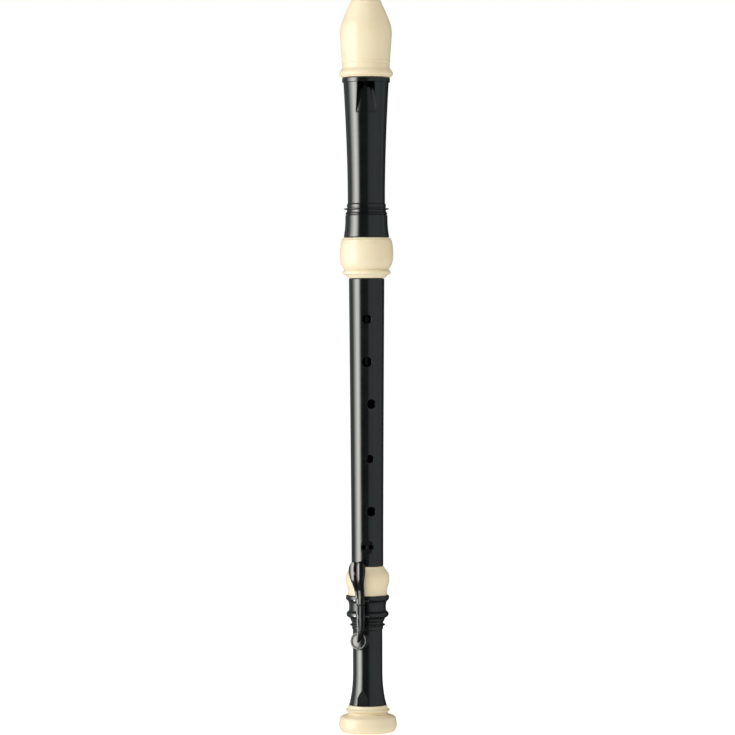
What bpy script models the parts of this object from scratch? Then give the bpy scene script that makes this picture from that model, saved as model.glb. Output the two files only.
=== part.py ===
"""Tenor recorder in three moulded sections, with a two-lever key for the lowest hole.

The instrument stands on its foot bell. Z runs up the bore to the beak, the finger
holes face -Y, and the origin is the middle of the bell's flat underside.
All sizes are in metres.
"""
import math

import bmesh
import bpy
from mathutils import Matrix, Vector

# Visible lengths of the turned sections, from the floor up
BELL_LEN = 0.0240
FOOT_BODY_LEN = 0.0971
FOOT_RING_LEN = 0.0259
MIDDLE_BODY_LEN = 0.2543
HEAD_RING_LEN = 0.0358
HEAD_BODY_LEN = 0.1410
BEAK_LEN = 0.0685

# Clearance between touching pieces, the looser fit of the two tenons, and a broken edge
GAP = 0.0003
TENON_FIT = 0.00022
PIN_FIT = 0.0003
EDGE = 0.0002

# Bore radii
HEAD_BORE_R = 0.0122
MIDDLE_BORE_TOP_R = 0.0119
MIDDLE_BORE_END_R = 0.0093
FOOT_BORE_TOP_R = 0.0092
FOOT_BORE_END_R = 0.0082

# Tenons and the walls of their sockets
HEAD_TENON_LEN = 0.0352
HEAD_TENON_WALL = 0.0022
FOOT_TENON_LEN = 0.0344
FOOT_TENON_WALL = 0.0027
HEAD_SOCKET_WALL = 0.0020
FOOT_SOCKET_WALL = 0.0020
SOCKET_END_ROOM = 0.0006
RING_LIP = 0.0018

# Head tube, outside
LIP_R = 0.0211
LIP_H = 0.0036
HEAD_SHOULDER_R = 0.0200
HEAD_WAIST_R = 0.0164
HEAD_WAIST_UP = 0.0380
WAIST_CURVE = 1.65
HEAD_BASE_R = 0.0199
HEAD_BEAD_UP = 0.0281
HEAD_BEAD_R = 0.0171
HEAD_BEAD_H = 0.0030
SHARP_RING_UP = 0.0254
SHARP_RING_R = 0.0199
SHARP_RING_H = 0.0009
SHARP_EDGE_H = 0.0003
LOWER_RING_UP = 0.0213
LOWER_RING_R = 0.0184
LOWER_RING_H = 0.0012
COLLAR_UP = 0.0197
COLLAR_R = 0.0183
SPIGOT_WALL = 0.0035
SPIGOT_LEN = 0.0250

# Window, windway and labium ramp
WINDOW_W = 0.0156
WINDOW_DOWN = 0.0045
WINDOW_H = 0.0048
RAMP_LEN = 0.0219
RAMP_END_W = 0.0174
RAMP_END_R = 0.0188
LABIUM_WALL = 0.00045
WINDOW_BACK = 0.0067
WINDWAY_W = 0.0150
WINDWAY_H = 0.0010
WINDWAY_BACK = 0.0073
BLOCK_BELOW = 0.0048
BLOCK_CHAMFER = 0.0008

# Beak
BEAK_TIP_R = 0.0129
BEAK_BULGE_R = 0.0229
BEAK_BULGE_DOWN = 0.0300
BEAK_FOOT_R = 0.0209
BEAK_RIM_R = 0.0238
BEAK_RIM_UP = 0.0031
BEAK_BEAD_R = 0.0214
BEAK_BEAD_UP = 0.0136
BEAK_BEAD_RISE = 0.0005
BEAK_BEAD_H = 0.0020
BEAK_BAND_START = 0.0030
RIM_COVE = 0.0036
TIP_CORNER = 0.0012
BEAK_TIP_FORWARD = 0.0034
BEAK_FORWARD_LEN = 0.0430
TIP_CURVE = 1.05
SCOOP_LEN = 0.0420
SCOOP_DEPTH = 0.0290
SCOOP_CURVE = 1.8
TIP_THICKNESS = 0.0113

# Beak below the bulge and round the rim: height from each, and how much narrower than it
BELOW_BULGE = ((0.0045, 0.0003), (0.0110, 0.0012))
RIM_CURVE = ((0.0022, 0.0018), (0.0010, 0.0004), (0.0, 0.0), (-0.0015, 0.0010))

# Walls of the ivory rings over the sockets, from the top of each ring down
HEAD_RING_WALLS = (
    (0.0003, 0.0043),
    (0.0025, 0.0055),
    (0.0036, 0.0059),
    (0.0080, 0.0067),
    (0.0130, 0.0069),
    (0.0180, 0.0068),
    (0.0232, 0.0057),
    (0.0252, 0.0049),
    (0.0270, 0.0040),
    (0.0290, 0.0028),
    (0.0299, 0.0024),
    (0.0307, 0.0042),
    (0.0315, 0.0045),
    (0.0325, 0.0038),
    (0.0335, 0.0016),
    (0.0356, -0.0008),
)
FOOT_RING_WALLS = (
    (0.0002, -0.0004),
    (0.0016, 0.0006),
    (0.0034, 0.0022),
    (0.0051, 0.0034),
    (0.0088, 0.0048),
    (0.0115, 0.0049),
    (0.0157, 0.0044),
    (0.0184, 0.0035),
    (0.0210, 0.0029),
    (0.0256, 0.0027),
)

# Middle tube, outside, and its holes: number, height, radius and turn to the viewer's right
MIDDLE_TOP_R = 0.0155
MIDDLE_WAIST_R = 0.0139
MIDDLE_WAIST_UP = 0.0130
MIDDLE_CURVE = 1.2
FINGER_HOLES = (
    ("1", 0.3652, 0.0040, 0.0),
    ("2", 0.3276, 0.0043, 0.0),
    ("3", 0.2905, 0.0040, 15.0),
    ("4", 0.2422, 0.0035, 9.0),
    ("5", 0.1958, 0.0041, 14.5),
)
DOUBLE_HOLE_Z = 0.1642
DOUBLE_HOLE_R = 0.0021
DOUBLE_HOLE_APART = 0.0061
DISH_R = 0.0058
DISH_DEPTH = 0.0011
THUMB_HOLE_Z = 0.3770
THUMB_HOLE_R = 0.0041

# Foot tube, outside: what stands over the socket's wall, from its top down
FOOT_RINGS = (
    (0.0002, 0.0047),
    (0.0014, 0.0049),
    (0.0030, 0.0048),
    (0.0040, 0.0043),
    (0.0049, 0.0032),
    (0.0065, 0.0023),
    (0.0093, 0.0020),
    (0.0120, 0.0020),
    (0.0135, 0.0024),
    (0.0146, 0.0033),
    (0.0155, 0.0042),
    (0.0173, 0.0044),
    (0.0182, 0.0040),
    (0.0199, 0.0016),
    (0.0221, 0.0006),
)
FOOT_COVE_R = 0.0138
FOOT_COVE_DOWN = 0.0240
FOOT_NECK_R = 0.0130
FOOT_BEAD_DOWN = 0.0262
FOOT_BEAD_R = 0.0155
FOOT_BEAD_H = 0.0028
SMALL_BEAD_DOWN = 0.0290
SMALL_BEAD_R = 0.0137
SMALL_BEAD_H = 0.0022
FOOT_FLARE_LEN = 0.0300
FOOT_END_R = 0.0166
FLARE_CURVE = 1.55
BELL_SPIGOT_WALL = 0.0030
BELL_SPIGOT_LEN = 0.0160

# Foot bell, outside, from its top down
BELL_SHAPE = (
    (0.0001, 0.0170),
    (0.0027, 0.0179),
    (0.0036, 0.0190),
    (0.0044, 0.0197),
    (0.0053, 0.0190),
    (0.0064, 0.0180),
    (0.0080, 0.0180),
    (0.0090, 0.0206),
    (0.0103, 0.0240),
    (0.0116, 0.0249),
    (0.0140, 0.0252),
    (0.0177, 0.0257),
    (0.0196, 0.0254),
    (0.0220, 0.0244),
    (0.0236, 0.0226),
)
BELL_BASE_R = 0.0200
BELL_MOUTH_R = 0.0105
BELL_MOUTH_H = 0.0060

# Key: where its lever plane and its tone hole lie, turned to the viewer's left from the front
KEY_AZIMUTH = 19.0
SEAT_AZIMUTH = 26.0
SLOT_FLOOR = 0.0140
SLOT_SIDE_ROOM = 0.0006
SLOT_LEN = 0.0293
TOUCH_AXLE_OUT = 0.0170
TOUCH_AXLE_DOWN = 0.0036
PAD_AXLE_OUT = 0.0168
PAD_AXLE_DOWN = 0.0175
AXLE_R = 0.0010
AXLE_LEN = 0.0138
AXLE_HOLE_LEN = 0.0240
BARREL_R = 0.0022
PAD_OPEN_ANGLE = 6.0

# Touch lever: heights above its axle, half widths, and how far each face stands out from it
TOUCH_SECTIONS = (
    (-0.0032, 0.0040, -0.0016, 0.0040),
    (-0.0020, 0.0041, -0.0013, 0.0041),
    (0.0000, 0.0041, 0.0002, 0.0042),
    (0.0035, 0.0041, 0.0018, 0.0046),
    (0.0065, 0.0042, 0.0026, 0.0052),
    (0.0100, 0.0043, 0.0034, 0.0061),
    (0.0130, 0.0047, 0.0046, 0.0075),
    (0.0157, 0.0054, 0.0055, 0.0088),
    (0.0200, 0.0067, 0.0063, 0.0101),
    (0.0240, 0.0075, 0.0066, 0.0105),
    (0.0280, 0.0075, 0.0067, 0.0105),
    (0.0312, 0.0066, 0.0068, 0.0102),
    (0.0332, 0.0051, 0.0070, 0.0097),
    (0.0348, 0.0019, 0.0074, 0.0089),
)
TAIL_HALF_W = 0.0030
TAIL_THICK = 0.0010
TAIL_LEN = 0.0044
TAIL_CORK_THICK = 0.0006
REST_CORK_THICK = 0.0008
REST_CORK_PAST = -0.0003

# Pad lever at rest: heights from its axle, sideways bend, half widths and both faces
PAD_LEVER_SECTIONS = (
    (0.0103, 0.0, 0.0039, 0.0011, 0.0040),
    (0.0060, 0.0, 0.0040, 0.0009, 0.0040),
    (0.0000, 0.0, 0.0040, 0.0002, 0.0038),
    (-0.0050, 0.0, 0.0037, 0.0006, 0.0034),
    (-0.0095, 0.0, 0.0033, 0.0006, 0.0032),
    (-0.0120, -0.0002, 0.0028, 0.0013, 0.0036),
    (-0.0147, -0.0006, 0.0024, 0.0022, 0.0045),
    (-0.0180, -0.0012, 0.0018, 0.0026, 0.0049),
    (-0.0205, -0.0018, 0.0011, 0.0029, 0.0047),
    (-0.0222, -0.0022, 0.0004, 0.0032, 0.0042),
)
CUP_DROP = 0.0216
CUP_R = 0.0083
CUP_WALL = 0.0007
CUP_ROOF = 0.0016
CUP_DEPTH = 0.0015
CUP_SHOULDER = ((0.0026, 0.0), (0.0020, 0.0005), (0.0005, 0.0006), (0.0, 0.0011))
PAD_THICK = 0.0020
SEAT_R = 0.0064
SEAT_START = 0.0106
SEAT_TOP = 0.0135
TONE_HOLE_R = 0.0042
PAD_SEAL = 0.00015

# Flat springs: heights from the axle and distances out of it, and where their rivets sit
SPRING_W = 0.0034
SPRING_THICK = 0.0004
TOUCH_SPRING_BEND = ((0.0026, 0.0010), (0.0040, 0.0015), (0.0080, 0.0023))
TOUCH_SPRING_FREE = 0.0138
TOUCH_RIVET = (0.0030, 0.00114)
PAD_SPRING_BEND = ((-0.0032, 0.0002), (-0.0062, 0.0002), (-0.0095, -0.0012))
PAD_SPRING_FREE = -0.0130
PAD_RIVET = (-0.0045, 0.0002)
RIVET_R = 0.0006
RIVET_HEAD = 0.0004

# Sides of a turned piece and of a small one, and how far a cutter runs past what it cuts
STEPS = 36
FINE_STEPS = 24
PAST = 0.002
FAR_PAST = 0.010
DRILL_START = 0.004

# Levels worked out from the lengths
Z_BELL = BELL_LEN
Z_FOOT_BODY = Z_BELL + FOOT_BODY_LEN
Z_FOOT = Z_FOOT_BODY + FOOT_RING_LEN
Z_MIDDLE = Z_FOOT + MIDDLE_BODY_LEN
Z_HEAD_RING = Z_MIDDLE + HEAD_RING_LEN
Z_HEAD = Z_HEAD_RING + HEAD_BODY_LEN
Z_TIP = Z_HEAD + BEAK_LEN
Z_TOUCH_AXLE = Z_FOOT_BODY - TOUCH_AXLE_DOWN
Z_PAD_AXLE = Z_FOOT_BODY - PAD_AXLE_DOWN
SEAM = GAP / 2

# Radii worked out from the bores and walls
HEAD_TENON_R = MIDDLE_BORE_TOP_R + HEAD_TENON_WALL
FOOT_TENON_R = MIDDLE_BORE_END_R + FOOT_TENON_WALL
HEAD_SOCKET_R = HEAD_TENON_R + TENON_FIT
FOOT_SOCKET_R = FOOT_TENON_R + TENON_FIT
HEAD_SLEEVE_R = HEAD_SOCKET_R + HEAD_SOCKET_WALL
FOOT_SLEEVE_R = FOOT_SOCKET_R + FOOT_SOCKET_WALL
HEAD_SPIGOT_R = HEAD_BORE_R + SPIGOT_WALL
BLOCK_R = HEAD_BORE_R - GAP
WINDWAY_ROOF_R = BLOCK_R + WINDWAY_H
BELL_SPIGOT_R = FOOT_BORE_END_R + BELL_SPIGOT_WALL

# Colours
BLACK = (0.012, 0.012, 0.013)
IVORY = (0.83, 0.76, 0.62)
STEEL = (0.55, 0.55, 0.56)
CORK = (0.45, 0.30, 0.17)
PAD_SKIN = (0.72, 0.58, 0.40)


def clear_scene():
    """Remove every object that the new scene came with."""
    for old in list(bpy.data.objects):
        bpy.data.objects.remove(old, do_unlink=True)


def new_collection(name):
    """A collection linked to the scene."""
    made = bpy.data.collections.new(name)
    bpy.context.scene.collection.children.link(made)
    return made


clear_scene()
parts = new_collection("tenor_recorder")
cutters = new_collection("cutters")


def empty(name, parent, location, turn_z=0.0, turn_x=0.0):
    """A frame that pieces are parented to, on a joint's axis or at a section's base."""
    frame = bpy.data.objects.new(name, None)
    parts.objects.link(frame)
    frame.parent = parent
    frame.location = location
    frame.rotation_euler = (turn_x, 0.0, turn_z)
    return frame


def finish(obj, colour, roughness, metallic=0.0):
    """Give a piece its own Principled BSDF material."""
    material = bpy.data.materials.new(obj.name + "_finish")
    material.use_nodes = True
    shader = material.node_tree.nodes["Principled BSDF"]
    shader.inputs["Base Color"].default_value = (*colour, 1.0)
    shader.inputs["Roughness"].default_value = roughness
    shader.inputs["Metallic"].default_value = metallic
    obj.data.materials.append(material)


def smooth(mesh):
    """Shade round faces smooth and keep the edges crisp."""
    mesh.shade_smooth()
    mesh.set_sharp_from_angle(angle=math.radians(35))


def add_object(name, mesh, parent, collection):
    """Link a mesh as an object under its parent."""
    obj = bpy.data.objects.new(name, mesh)
    collection.objects.link(obj)
    obj.parent = parent
    return obj


def mesh_from(name, bm):
    """Turn a bmesh into a mesh with its faces pointing out."""
    bmesh.ops.recalc_face_normals(bm, faces=bm.faces)
    mesh = bpy.data.meshes.new(name)
    bm.to_mesh(mesh)
    bm.free()
    return mesh


def turned(name, outline, base, parent, collection, closed=True, steps=STEPS):
    """Turn an outline of (radius, height) round Z. It runs down the outside, then up the inside.

    Heights are given from the floor, and base is the height of the parent frame.
    """
    mesh = bpy.data.meshes.new(name)
    points = [(radius, 0.0, height - base) for radius, height in outline]
    edges = [(i, i + 1) for i in range(len(points) - 1)]
    if closed:
        edges.append((len(points) - 1, 0))
    mesh.from_pydata(points, edges, [])
    obj = add_object(name, mesh, parent, collection)
    screw = obj.modifiers.new("turn", "SCREW")
    screw.axis = "Z"
    screw.angle = math.tau
    screw.steps = steps
    screw.render_steps = steps
    screw.use_merge_vertices = True
    screw.merge_threshold = 0.00001
    return obj


def bake_modifiers(obj):
    """Replace a piece's mesh by what its modifiers make of it."""
    bpy.context.view_layer.update()
    evaluated = obj.evaluated_get(bpy.context.evaluated_depsgraph_get())
    mesh = bpy.data.meshes.new_from_object(evaluated)
    obj.modifiers.clear()
    obj.data = mesh


def as_cutter(obj):
    """Hide a cutter from renders and show it as wire."""
    obj.hide_render = True
    obj.display_type = "WIRE"
    return obj


def boolean(obj, tool, operation="DIFFERENCE"):
    """Cut, join or clip a piece with another closed mesh."""
    modifier = obj.modifiers.new(tool.name, "BOOLEAN")
    modifier.operation = operation
    modifier.solver = "EXACT"
    modifier.object = tool


def cylinder(name, radius, depth, parent, location, axis, collection, segments=FINE_STEPS):
    """A capped cylinder centred on a point, along a direction in the parent's frame."""
    bm = bmesh.new()
    bmesh.ops.create_cone(
        bm, cap_ends=True, segments=segments, radius1=radius, radius2=radius, depth=depth
    )
    obj = add_object(name, mesh_from(name, bm), parent, collection)
    obj.location = location
    obj.rotation_mode = "QUATERNION"
    obj.rotation_quaternion = Vector((0.0, 0.0, 1.0)).rotation_difference(Vector(axis))
    return obj


def box(name, low, high, parent, collection):
    """A box between two corners in the parent's frame, with its scale applied."""
    bm = bmesh.new()
    bmesh.ops.create_cube(bm, size=1.0)
    size = [b - a for a, b in zip(low, high)]
    middle = [(a + b) / 2 for a, b in zip(low, high)]
    bmesh.ops.scale(bm, vec=size, verts=bm.verts)
    obj = add_object(name, mesh_from(name, bm), parent, collection)
    obj.location = middle
    return obj


def round_edges(obj, width):
    """Small rounded edges, as a moulding has."""
    bevel = obj.modifiers.new("edges", "BEVEL")
    bevel.width = width
    bevel.segments = 1
    bevel.limit_method = "ANGLE"
    bevel.angle_limit = math.radians(40)


def radial(azimuth):
    """Unit vector out of the bore, azimuth degrees from the front towards the viewer's right."""
    turn = math.radians(azimuth)
    return Vector((math.sin(turn), -math.cos(turn), 0.0))


def drill(name, radius, azimuth, height, start, end, parent, base, sideways=0.0):
    """A radial cutter through one wall, from start to end out of the bore's axis."""
    out = radial(azimuth)
    side = Vector((-out.y, out.x, 0.0)) * sideways
    middle = out * ((start + end) / 2) + side
    location = (middle.x, middle.y, height - base)
    return as_cutter(cylinder(name, radius, end - start, parent, location, out, cutters))


def taper(top, bottom, power, count):
    """Points from (radius, height) top to bottom, bowed by a power of the way up."""
    points = []
    for i in range(count + 1):
        up = 1.0 - i / count
        radius = bottom[0] + (top[0] - bottom[0]) * up**power
        points.append((radius, bottom[1] + (top[1] - bottom[1]) * up))
    return points


def bead(height, base_r, crown_r, tall):
    """A half-round bead standing on a wall, from its top down."""
    half = tall / 2
    rise = crown_r - base_r
    crown = ((0.0, 1.0), (0.7, 0.7), (1.0, 0.0), (0.7, -0.7), (0.0, -1.0))
    return [(base_r + rise * out, height + half * up) for out, up in crown]


def lofted(name, rings, parent, collection):
    """A closed lever: rings of points, one for each section, bridged and capped."""
    bm = bmesh.new()
    rows = [[bm.verts.new(point) for point in ring] for ring in rings]
    for upper, lower in zip(rows, rows[1:]):
        for i in range(len(upper)):
            j = (i + 1) % len(upper)
            bm.faces.new((upper[i], upper[j], lower[j], lower[i]))
    bm.faces.new(rows[0])
    bm.faces.new(rows[-1])
    return add_object(name, mesh_from(name, bm), parent, collection)


def section_ring(height, middle, half_width, inner, outer, count=12, squareness=0.72):
    """A rounded flat section across a lever, which faces -Y in the key's frame."""
    ring = []
    centre = (inner + outer) / 2
    half = (outer - inner) / 2
    for i in range(count):
        angle = math.tau * (i + 0.5) / count
        across = math.copysign(abs(math.cos(angle)) ** squareness, math.cos(angle))
        out = math.copysign(abs(math.sin(angle)) ** squareness, math.sin(angle))
        ring.append((middle + half_width * across, -(centre + half * out), height))
    return ring


# Frames
foot = empty("foot", None, (0.0, 0.0, 0.0))
middle = empty("middle_turn", foot, (0.0, 0.0, Z_FOOT))
head = empty("head_slide", middle, (0.0, 0.0, Z_MIDDLE - Z_FOOT))
key_frame = empty("key_frame", foot, (0.0, 0.0, 0.0), turn_z=math.radians(-KEY_AZIMUTH))
touch_hinge = empty("touch_hinge", key_frame, (0.0, -TOUCH_AXLE_OUT, Z_TOUCH_AXLE))
pad_hinge = empty("pad_hinge", key_frame, (0.0, -PAD_AXLE_OUT, Z_PAD_AXLE))


def make_head_tube():
    """Black head: spigot, lip, waisted body, rings, flared base and socket sleeve."""
    spigot_top = Z_HEAD + SPIGOT_LEN
    lip_top = Z_HEAD - SEAM
    body_top = lip_top - LIP_H
    waist = Z_HEAD_RING + HEAD_WAIST_UP
    sharp = Z_HEAD_RING + SHARP_RING_UP
    lower = Z_HEAD_RING + LOWER_RING_UP
    collar = Z_HEAD_RING + COLLAR_UP
    base = Z_HEAD_RING + SEAM
    sleeve_end = Z_MIDDLE + RING_LIP + GAP
    socket_floor = Z_MIDDLE + HEAD_TENON_LEN + SOCKET_END_ROOM
    neck = HEAD_WAIST_R + EDGE
    outline = [(HEAD_SPIGOT_R, spigot_top), (HEAD_SPIGOT_R, lip_top)]
    outline += [(LIP_R - EDGE, lip_top), (LIP_R, lip_top - EDGE), (LIP_R, body_top)]
    outline += taper((HEAD_SHOULDER_R, body_top - EDGE), (HEAD_WAIST_R, waist), WAIST_CURVE, 8)
    outline += bead(Z_HEAD_RING + HEAD_BEAD_UP, HEAD_WAIST_R, HEAD_BEAD_R, HEAD_BEAD_H)
    outline += [(neck, sharp + SHARP_RING_H), (SHARP_RING_R, sharp + SHARP_EDGE_H)]
    outline += [(SHARP_RING_R, sharp - SHARP_EDGE_H), (neck, sharp - SHARP_RING_H)]
    outline += bead(lower, neck, LOWER_RING_R, LOWER_RING_H)[1:]
    outline += [(COLLAR_R, collar), (HEAD_BASE_R, base)]
    outline += [(HEAD_SLEEVE_R, base), (HEAD_SLEEVE_R, sleeve_end), (HEAD_SOCKET_R, sleeve_end)]
    outline += [(HEAD_SOCKET_R, socket_floor), (HEAD_BORE_R, socket_floor)]
    outline += [(HEAD_BORE_R, spigot_top)]
    tube = turned("head_tube", outline, Z_MIDDLE, head, parts)
    boolean(tube, make_window_cutter())
    boolean(tube, make_ramp_cutter())
    boolean(tube, make_windway_cutter("windway_in_tube", Z_HEAD - WINDOW_DOWN - WINDOW_H, spigot_top))
    finish(tube, BLACK, 0.22)
    return tube


def make_window_cutter():
    """The window: a straight opening from the outside into the bore, under the lip."""
    top = Z_HEAD - WINDOW_DOWN - Z_MIDDLE
    low = (-WINDOW_W / 2, -LIP_R - FAR_PAST, top - WINDOW_H)
    high = (WINDOW_W / 2, -WINDOW_BACK, top)
    return as_cutter(box("window_cutter", low, high, head, cutters))


def make_ramp_cutter():
    """The labium ramp: a tapered prism less a cone round the bore, so its face is arched."""
    top = Z_HEAD - WINDOW_DOWN - WINDOW_H + GAP - Z_MIDDLE
    bottom = top - RAMP_LEN
    near = -WINDOW_BACK
    far = -LIP_R - FAR_PAST
    bm = bmesh.new()
    bmesh.ops.create_cube(bm, size=1.0)
    for vert in bm.verts:
        half = (WINDOW_W if vert.co.z > 0 else RAMP_END_W) / 2
        vert.co.x = math.copysign(half, vert.co.x)
        vert.co.y = far if vert.co.y < 0 else near
        vert.co.z = top if vert.co.z > 0 else bottom
    prism = as_cutter(add_object("ramp_cutter", mesh_from("ramp_cutter", bm), head, cutters))
    edge_r = HEAD_BORE_R + LABIUM_WALL
    slope = (RAMP_END_R - edge_r) / RAMP_LEN
    cone = bmesh.new()
    bmesh.ops.create_cone(
        cone,
        cap_ends=True,
        segments=STEPS * 2,
        radius1=RAMP_END_R + slope * PAST,
        radius2=edge_r - slope * PAST,
        depth=RAMP_LEN + 2 * PAST,
    )
    core = add_object("ramp_core", mesh_from("ramp_core", cone), head, cutters)
    core.location = (0.0, 0.0, (top + bottom) / 2)
    boolean(prism, as_cutter(core))
    return prism


def make_windway_cutter(name, bottom, top):
    """The windway's roof: an arched groove in the front of the bore's wall."""
    half_turn = math.asin(WINDWAY_W / 2 / WINDWAY_ROOF_R)
    arc_count = 10
    curve = bpy.data.curves.new(name, "CURVE")
    curve.dimensions = "2D"
    curve.fill_mode = "BOTH"
    curve.extrude = (top - bottom) / 2
    spline = curve.splines.new("POLY")
    spline.points.add(arc_count + 2)
    spline.use_cyclic_u = True
    for i in range(arc_count + 1):
        turn = half_turn * (2 * i / arc_count - 1)
        x = WINDWAY_ROOF_R * math.sin(turn)
        y = -WINDWAY_ROOF_R * math.cos(turn)
        spline.points[i].co = (x, y, 0.0, 1.0)
    spline.points[arc_count + 1].co = (WINDWAY_W / 2, -WINDWAY_BACK, 0.0, 1.0)
    spline.points[arc_count + 2].co = (-WINDWAY_W / 2, -WINDWAY_BACK, 0.0, 1.0)
    return as_cutter(solid_from_curve(name, curve, head, (0.0, 0.0, (top + bottom) / 2 - Z_MIDDLE)))


def solid_from_curve(name, curve, parent, location, turn=None, collection=None):
    """A flat outline made a closed mesh, with its caps welded to its sides."""
    drawn = bpy.data.objects.new(name + "_outline", curve)
    cutters.objects.link(drawn)
    bpy.context.view_layer.update()
    evaluated = drawn.evaluated_get(bpy.context.evaluated_depsgraph_get())
    mesh = bpy.data.meshes.new_from_object(evaluated)
    bm = bmesh.new()
    bm.from_mesh(mesh)
    bmesh.ops.remove_doubles(bm, verts=bm.verts, dist=0.000001)
    bmesh.ops.recalc_face_normals(bm, faces=bm.faces)
    bm.to_mesh(mesh)
    bm.free()
    bpy.data.objects.remove(drawn, do_unlink=True)
    if turn is not None:
        mesh.transform(turn)
    obj = add_object(name, mesh, parent, collection or cutters)
    obj.location = location
    return obj


def make_scoop_cutter(name):
    """The hollow behind the beak: a curve that falls from the tip back to the bulge."""
    front = -(BEAK_TIP_R + BEAK_TIP_FORWARD) + TIP_THICKNESS
    count = 12
    curve = bpy.data.curves.new(name, "CURVE")
    curve.dimensions = "2D"
    curve.fill_mode = "BOTH"
    curve.extrude = BEAK_RIM_R + FAR_PAST
    spline = curve.splines.new("POLY")
    spline.points.add(count + 2)
    spline.use_cyclic_u = True
    for i in range(count + 1):
        down = i / count
        y = front + SCOOP_DEPTH * down**SCOOP_CURVE
        spline.points[i].co = (y, Z_TIP - SCOOP_LEN * down, 0.0, 1.0)
    far = front + SCOOP_DEPTH + FAR_PAST
    spline.points[count + 1].co = (far, Z_TIP + FAR_PAST, 0.0, 1.0)
    spline.points[count + 2].co = (front, Z_TIP + FAR_PAST, 0.0, 1.0)
    upright = Matrix(((0, 0, 1, 0), (1, 0, 0, 0), (0, 1, 0, 0), (0, 0, 0, 1)))
    return as_cutter(solid_from_curve(name, curve, head, (0.0, 0.0, -Z_MIDDLE), turn=upright))


def make_beak():
    """Ivory cap: rim, bead, bulge and tip, bored for the spigot and the block, scooped behind."""
    low = Z_HEAD + SEAM
    bulge = Z_TIP - BEAK_BULGE_DOWN
    rim = Z_HEAD + BEAK_RIM_UP
    bead_z = Z_HEAD + BEAK_BEAD_UP
    outline = [(BEAK_TIP_R - TIP_CORNER, Z_TIP), (BEAK_TIP_R, Z_TIP - TIP_CORNER)]
    rise = Z_TIP - TIP_CORNER - bulge
    for i in range(1, 8):
        way = i / 7
        swell = math.sin(way * math.pi / 2) ** TIP_CURVE
        radius = BEAK_TIP_R + (BEAK_BULGE_R - BEAK_TIP_R) * swell
        outline.append((radius, Z_TIP - TIP_CORNER - rise * way))
    outline += [(BEAK_BULGE_R - less, bulge - down) for down, less in BELOW_BULGE]
    outline += bead(bead_z, BEAK_BEAD_R - BEAK_BEAD_RISE, BEAK_BEAD_R, BEAK_BEAD_H)
    outline += [(BEAK_FOOT_R, bead_z - BEAK_BAND_START), (BEAK_FOOT_R, rim + RIM_COVE)]
    outline += [(BEAK_RIM_R - less, rim + up) for up, less in RIM_CURVE]
    outline += [(LIP_R, low)]
    outline = [(0.0, Z_TIP)] + outline + [(0.0, low)]
    beak = turned("beak", outline, Z_MIDDLE, head, parts, closed=False)
    bake_modifiers(beak)
    lean_forward(beak.data)
    boolean(beak, make_scoop_cutter("beak_scoop"))
    floor = Z_HEAD + SPIGOT_LEN + GAP
    hollows = (
        ("spigot_room", HEAD_SPIGOT_R + GAP, low - PAST, floor),
        ("block_room", HEAD_BORE_R, floor - PAST, Z_TIP + PAST),
    )
    for name, radius, start, end in hollows:
        place = (0.0, 0.0, (start + end) / 2 - Z_MIDDLE)
        hollow = cylinder(name, radius, end - start, head, place, (0, 0, 1), cutters, STEPS)
        boolean(beak, as_cutter(hollow))
    boolean(beak, make_windway_cutter("windway_in_beak", floor - PAST, Z_TIP + PAST))
    finish(beak, IVORY, 0.30)
    return beak


def lean_forward(mesh):
    """Draw the cap forward towards its tip, so that the windway keeps its roof."""
    start = Z_TIP - BEAK_FORWARD_LEN - Z_MIDDLE
    for vert in mesh.vertices:
        if vert.co.z > start:
            up = (vert.co.z - start) / BEAK_FORWARD_LEN
            vert.co.y -= BEAK_TIP_FORWARD * up * up


def make_block():
    """The plug: a cylinder from the window up to the tip, scooped with the beak."""
    end = Z_HEAD - BLOCK_BELOW
    outline = [
        (0.0, Z_TIP),
        (BLOCK_R, Z_TIP),
        (BLOCK_R, end + BLOCK_CHAMFER),
        (BLOCK_R - BLOCK_CHAMFER, end),
        (0.0, end),
    ]
    block = turned("block", outline, Z_MIDDLE, head, parts, closed=False)
    boolean(block, make_scoop_cutter("block_scoop"))
    finish(block, IVORY, 0.35)
    return block


def make_ring(name, walls, sleeve_r, tube_r, top, bottom, lip_at_top, base, parent):
    """An ivory ring over a socket's sleeve, with a lip that covers the sleeve's end."""
    inner = sleeve_r + GAP
    lip_r = tube_r + GAP
    outline = [(inner + wall, top - down) for down, wall in walls]
    if lip_at_top:
        start = top - SEAM
        lip_end = top - RING_LIP
        end = bottom + SEAM
        outline += [(outline[-1][0], end), (inner, end), (inner, lip_end)]
        outline += [(lip_r, lip_end), (lip_r, start)]
    else:
        start = top - SEAM
        lip_end = bottom + RING_LIP
        end = bottom + SEAM
        outline += [(outline[-1][0] - EDGE, end), (lip_r, end), (lip_r, lip_end)]
        outline += [(inner, lip_end), (inner, start), (outline[0][0] - EDGE, start)]
    ring = turned(name, outline, base, parent, parts)
    finish(ring, IVORY, 0.30)
    return ring


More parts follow.
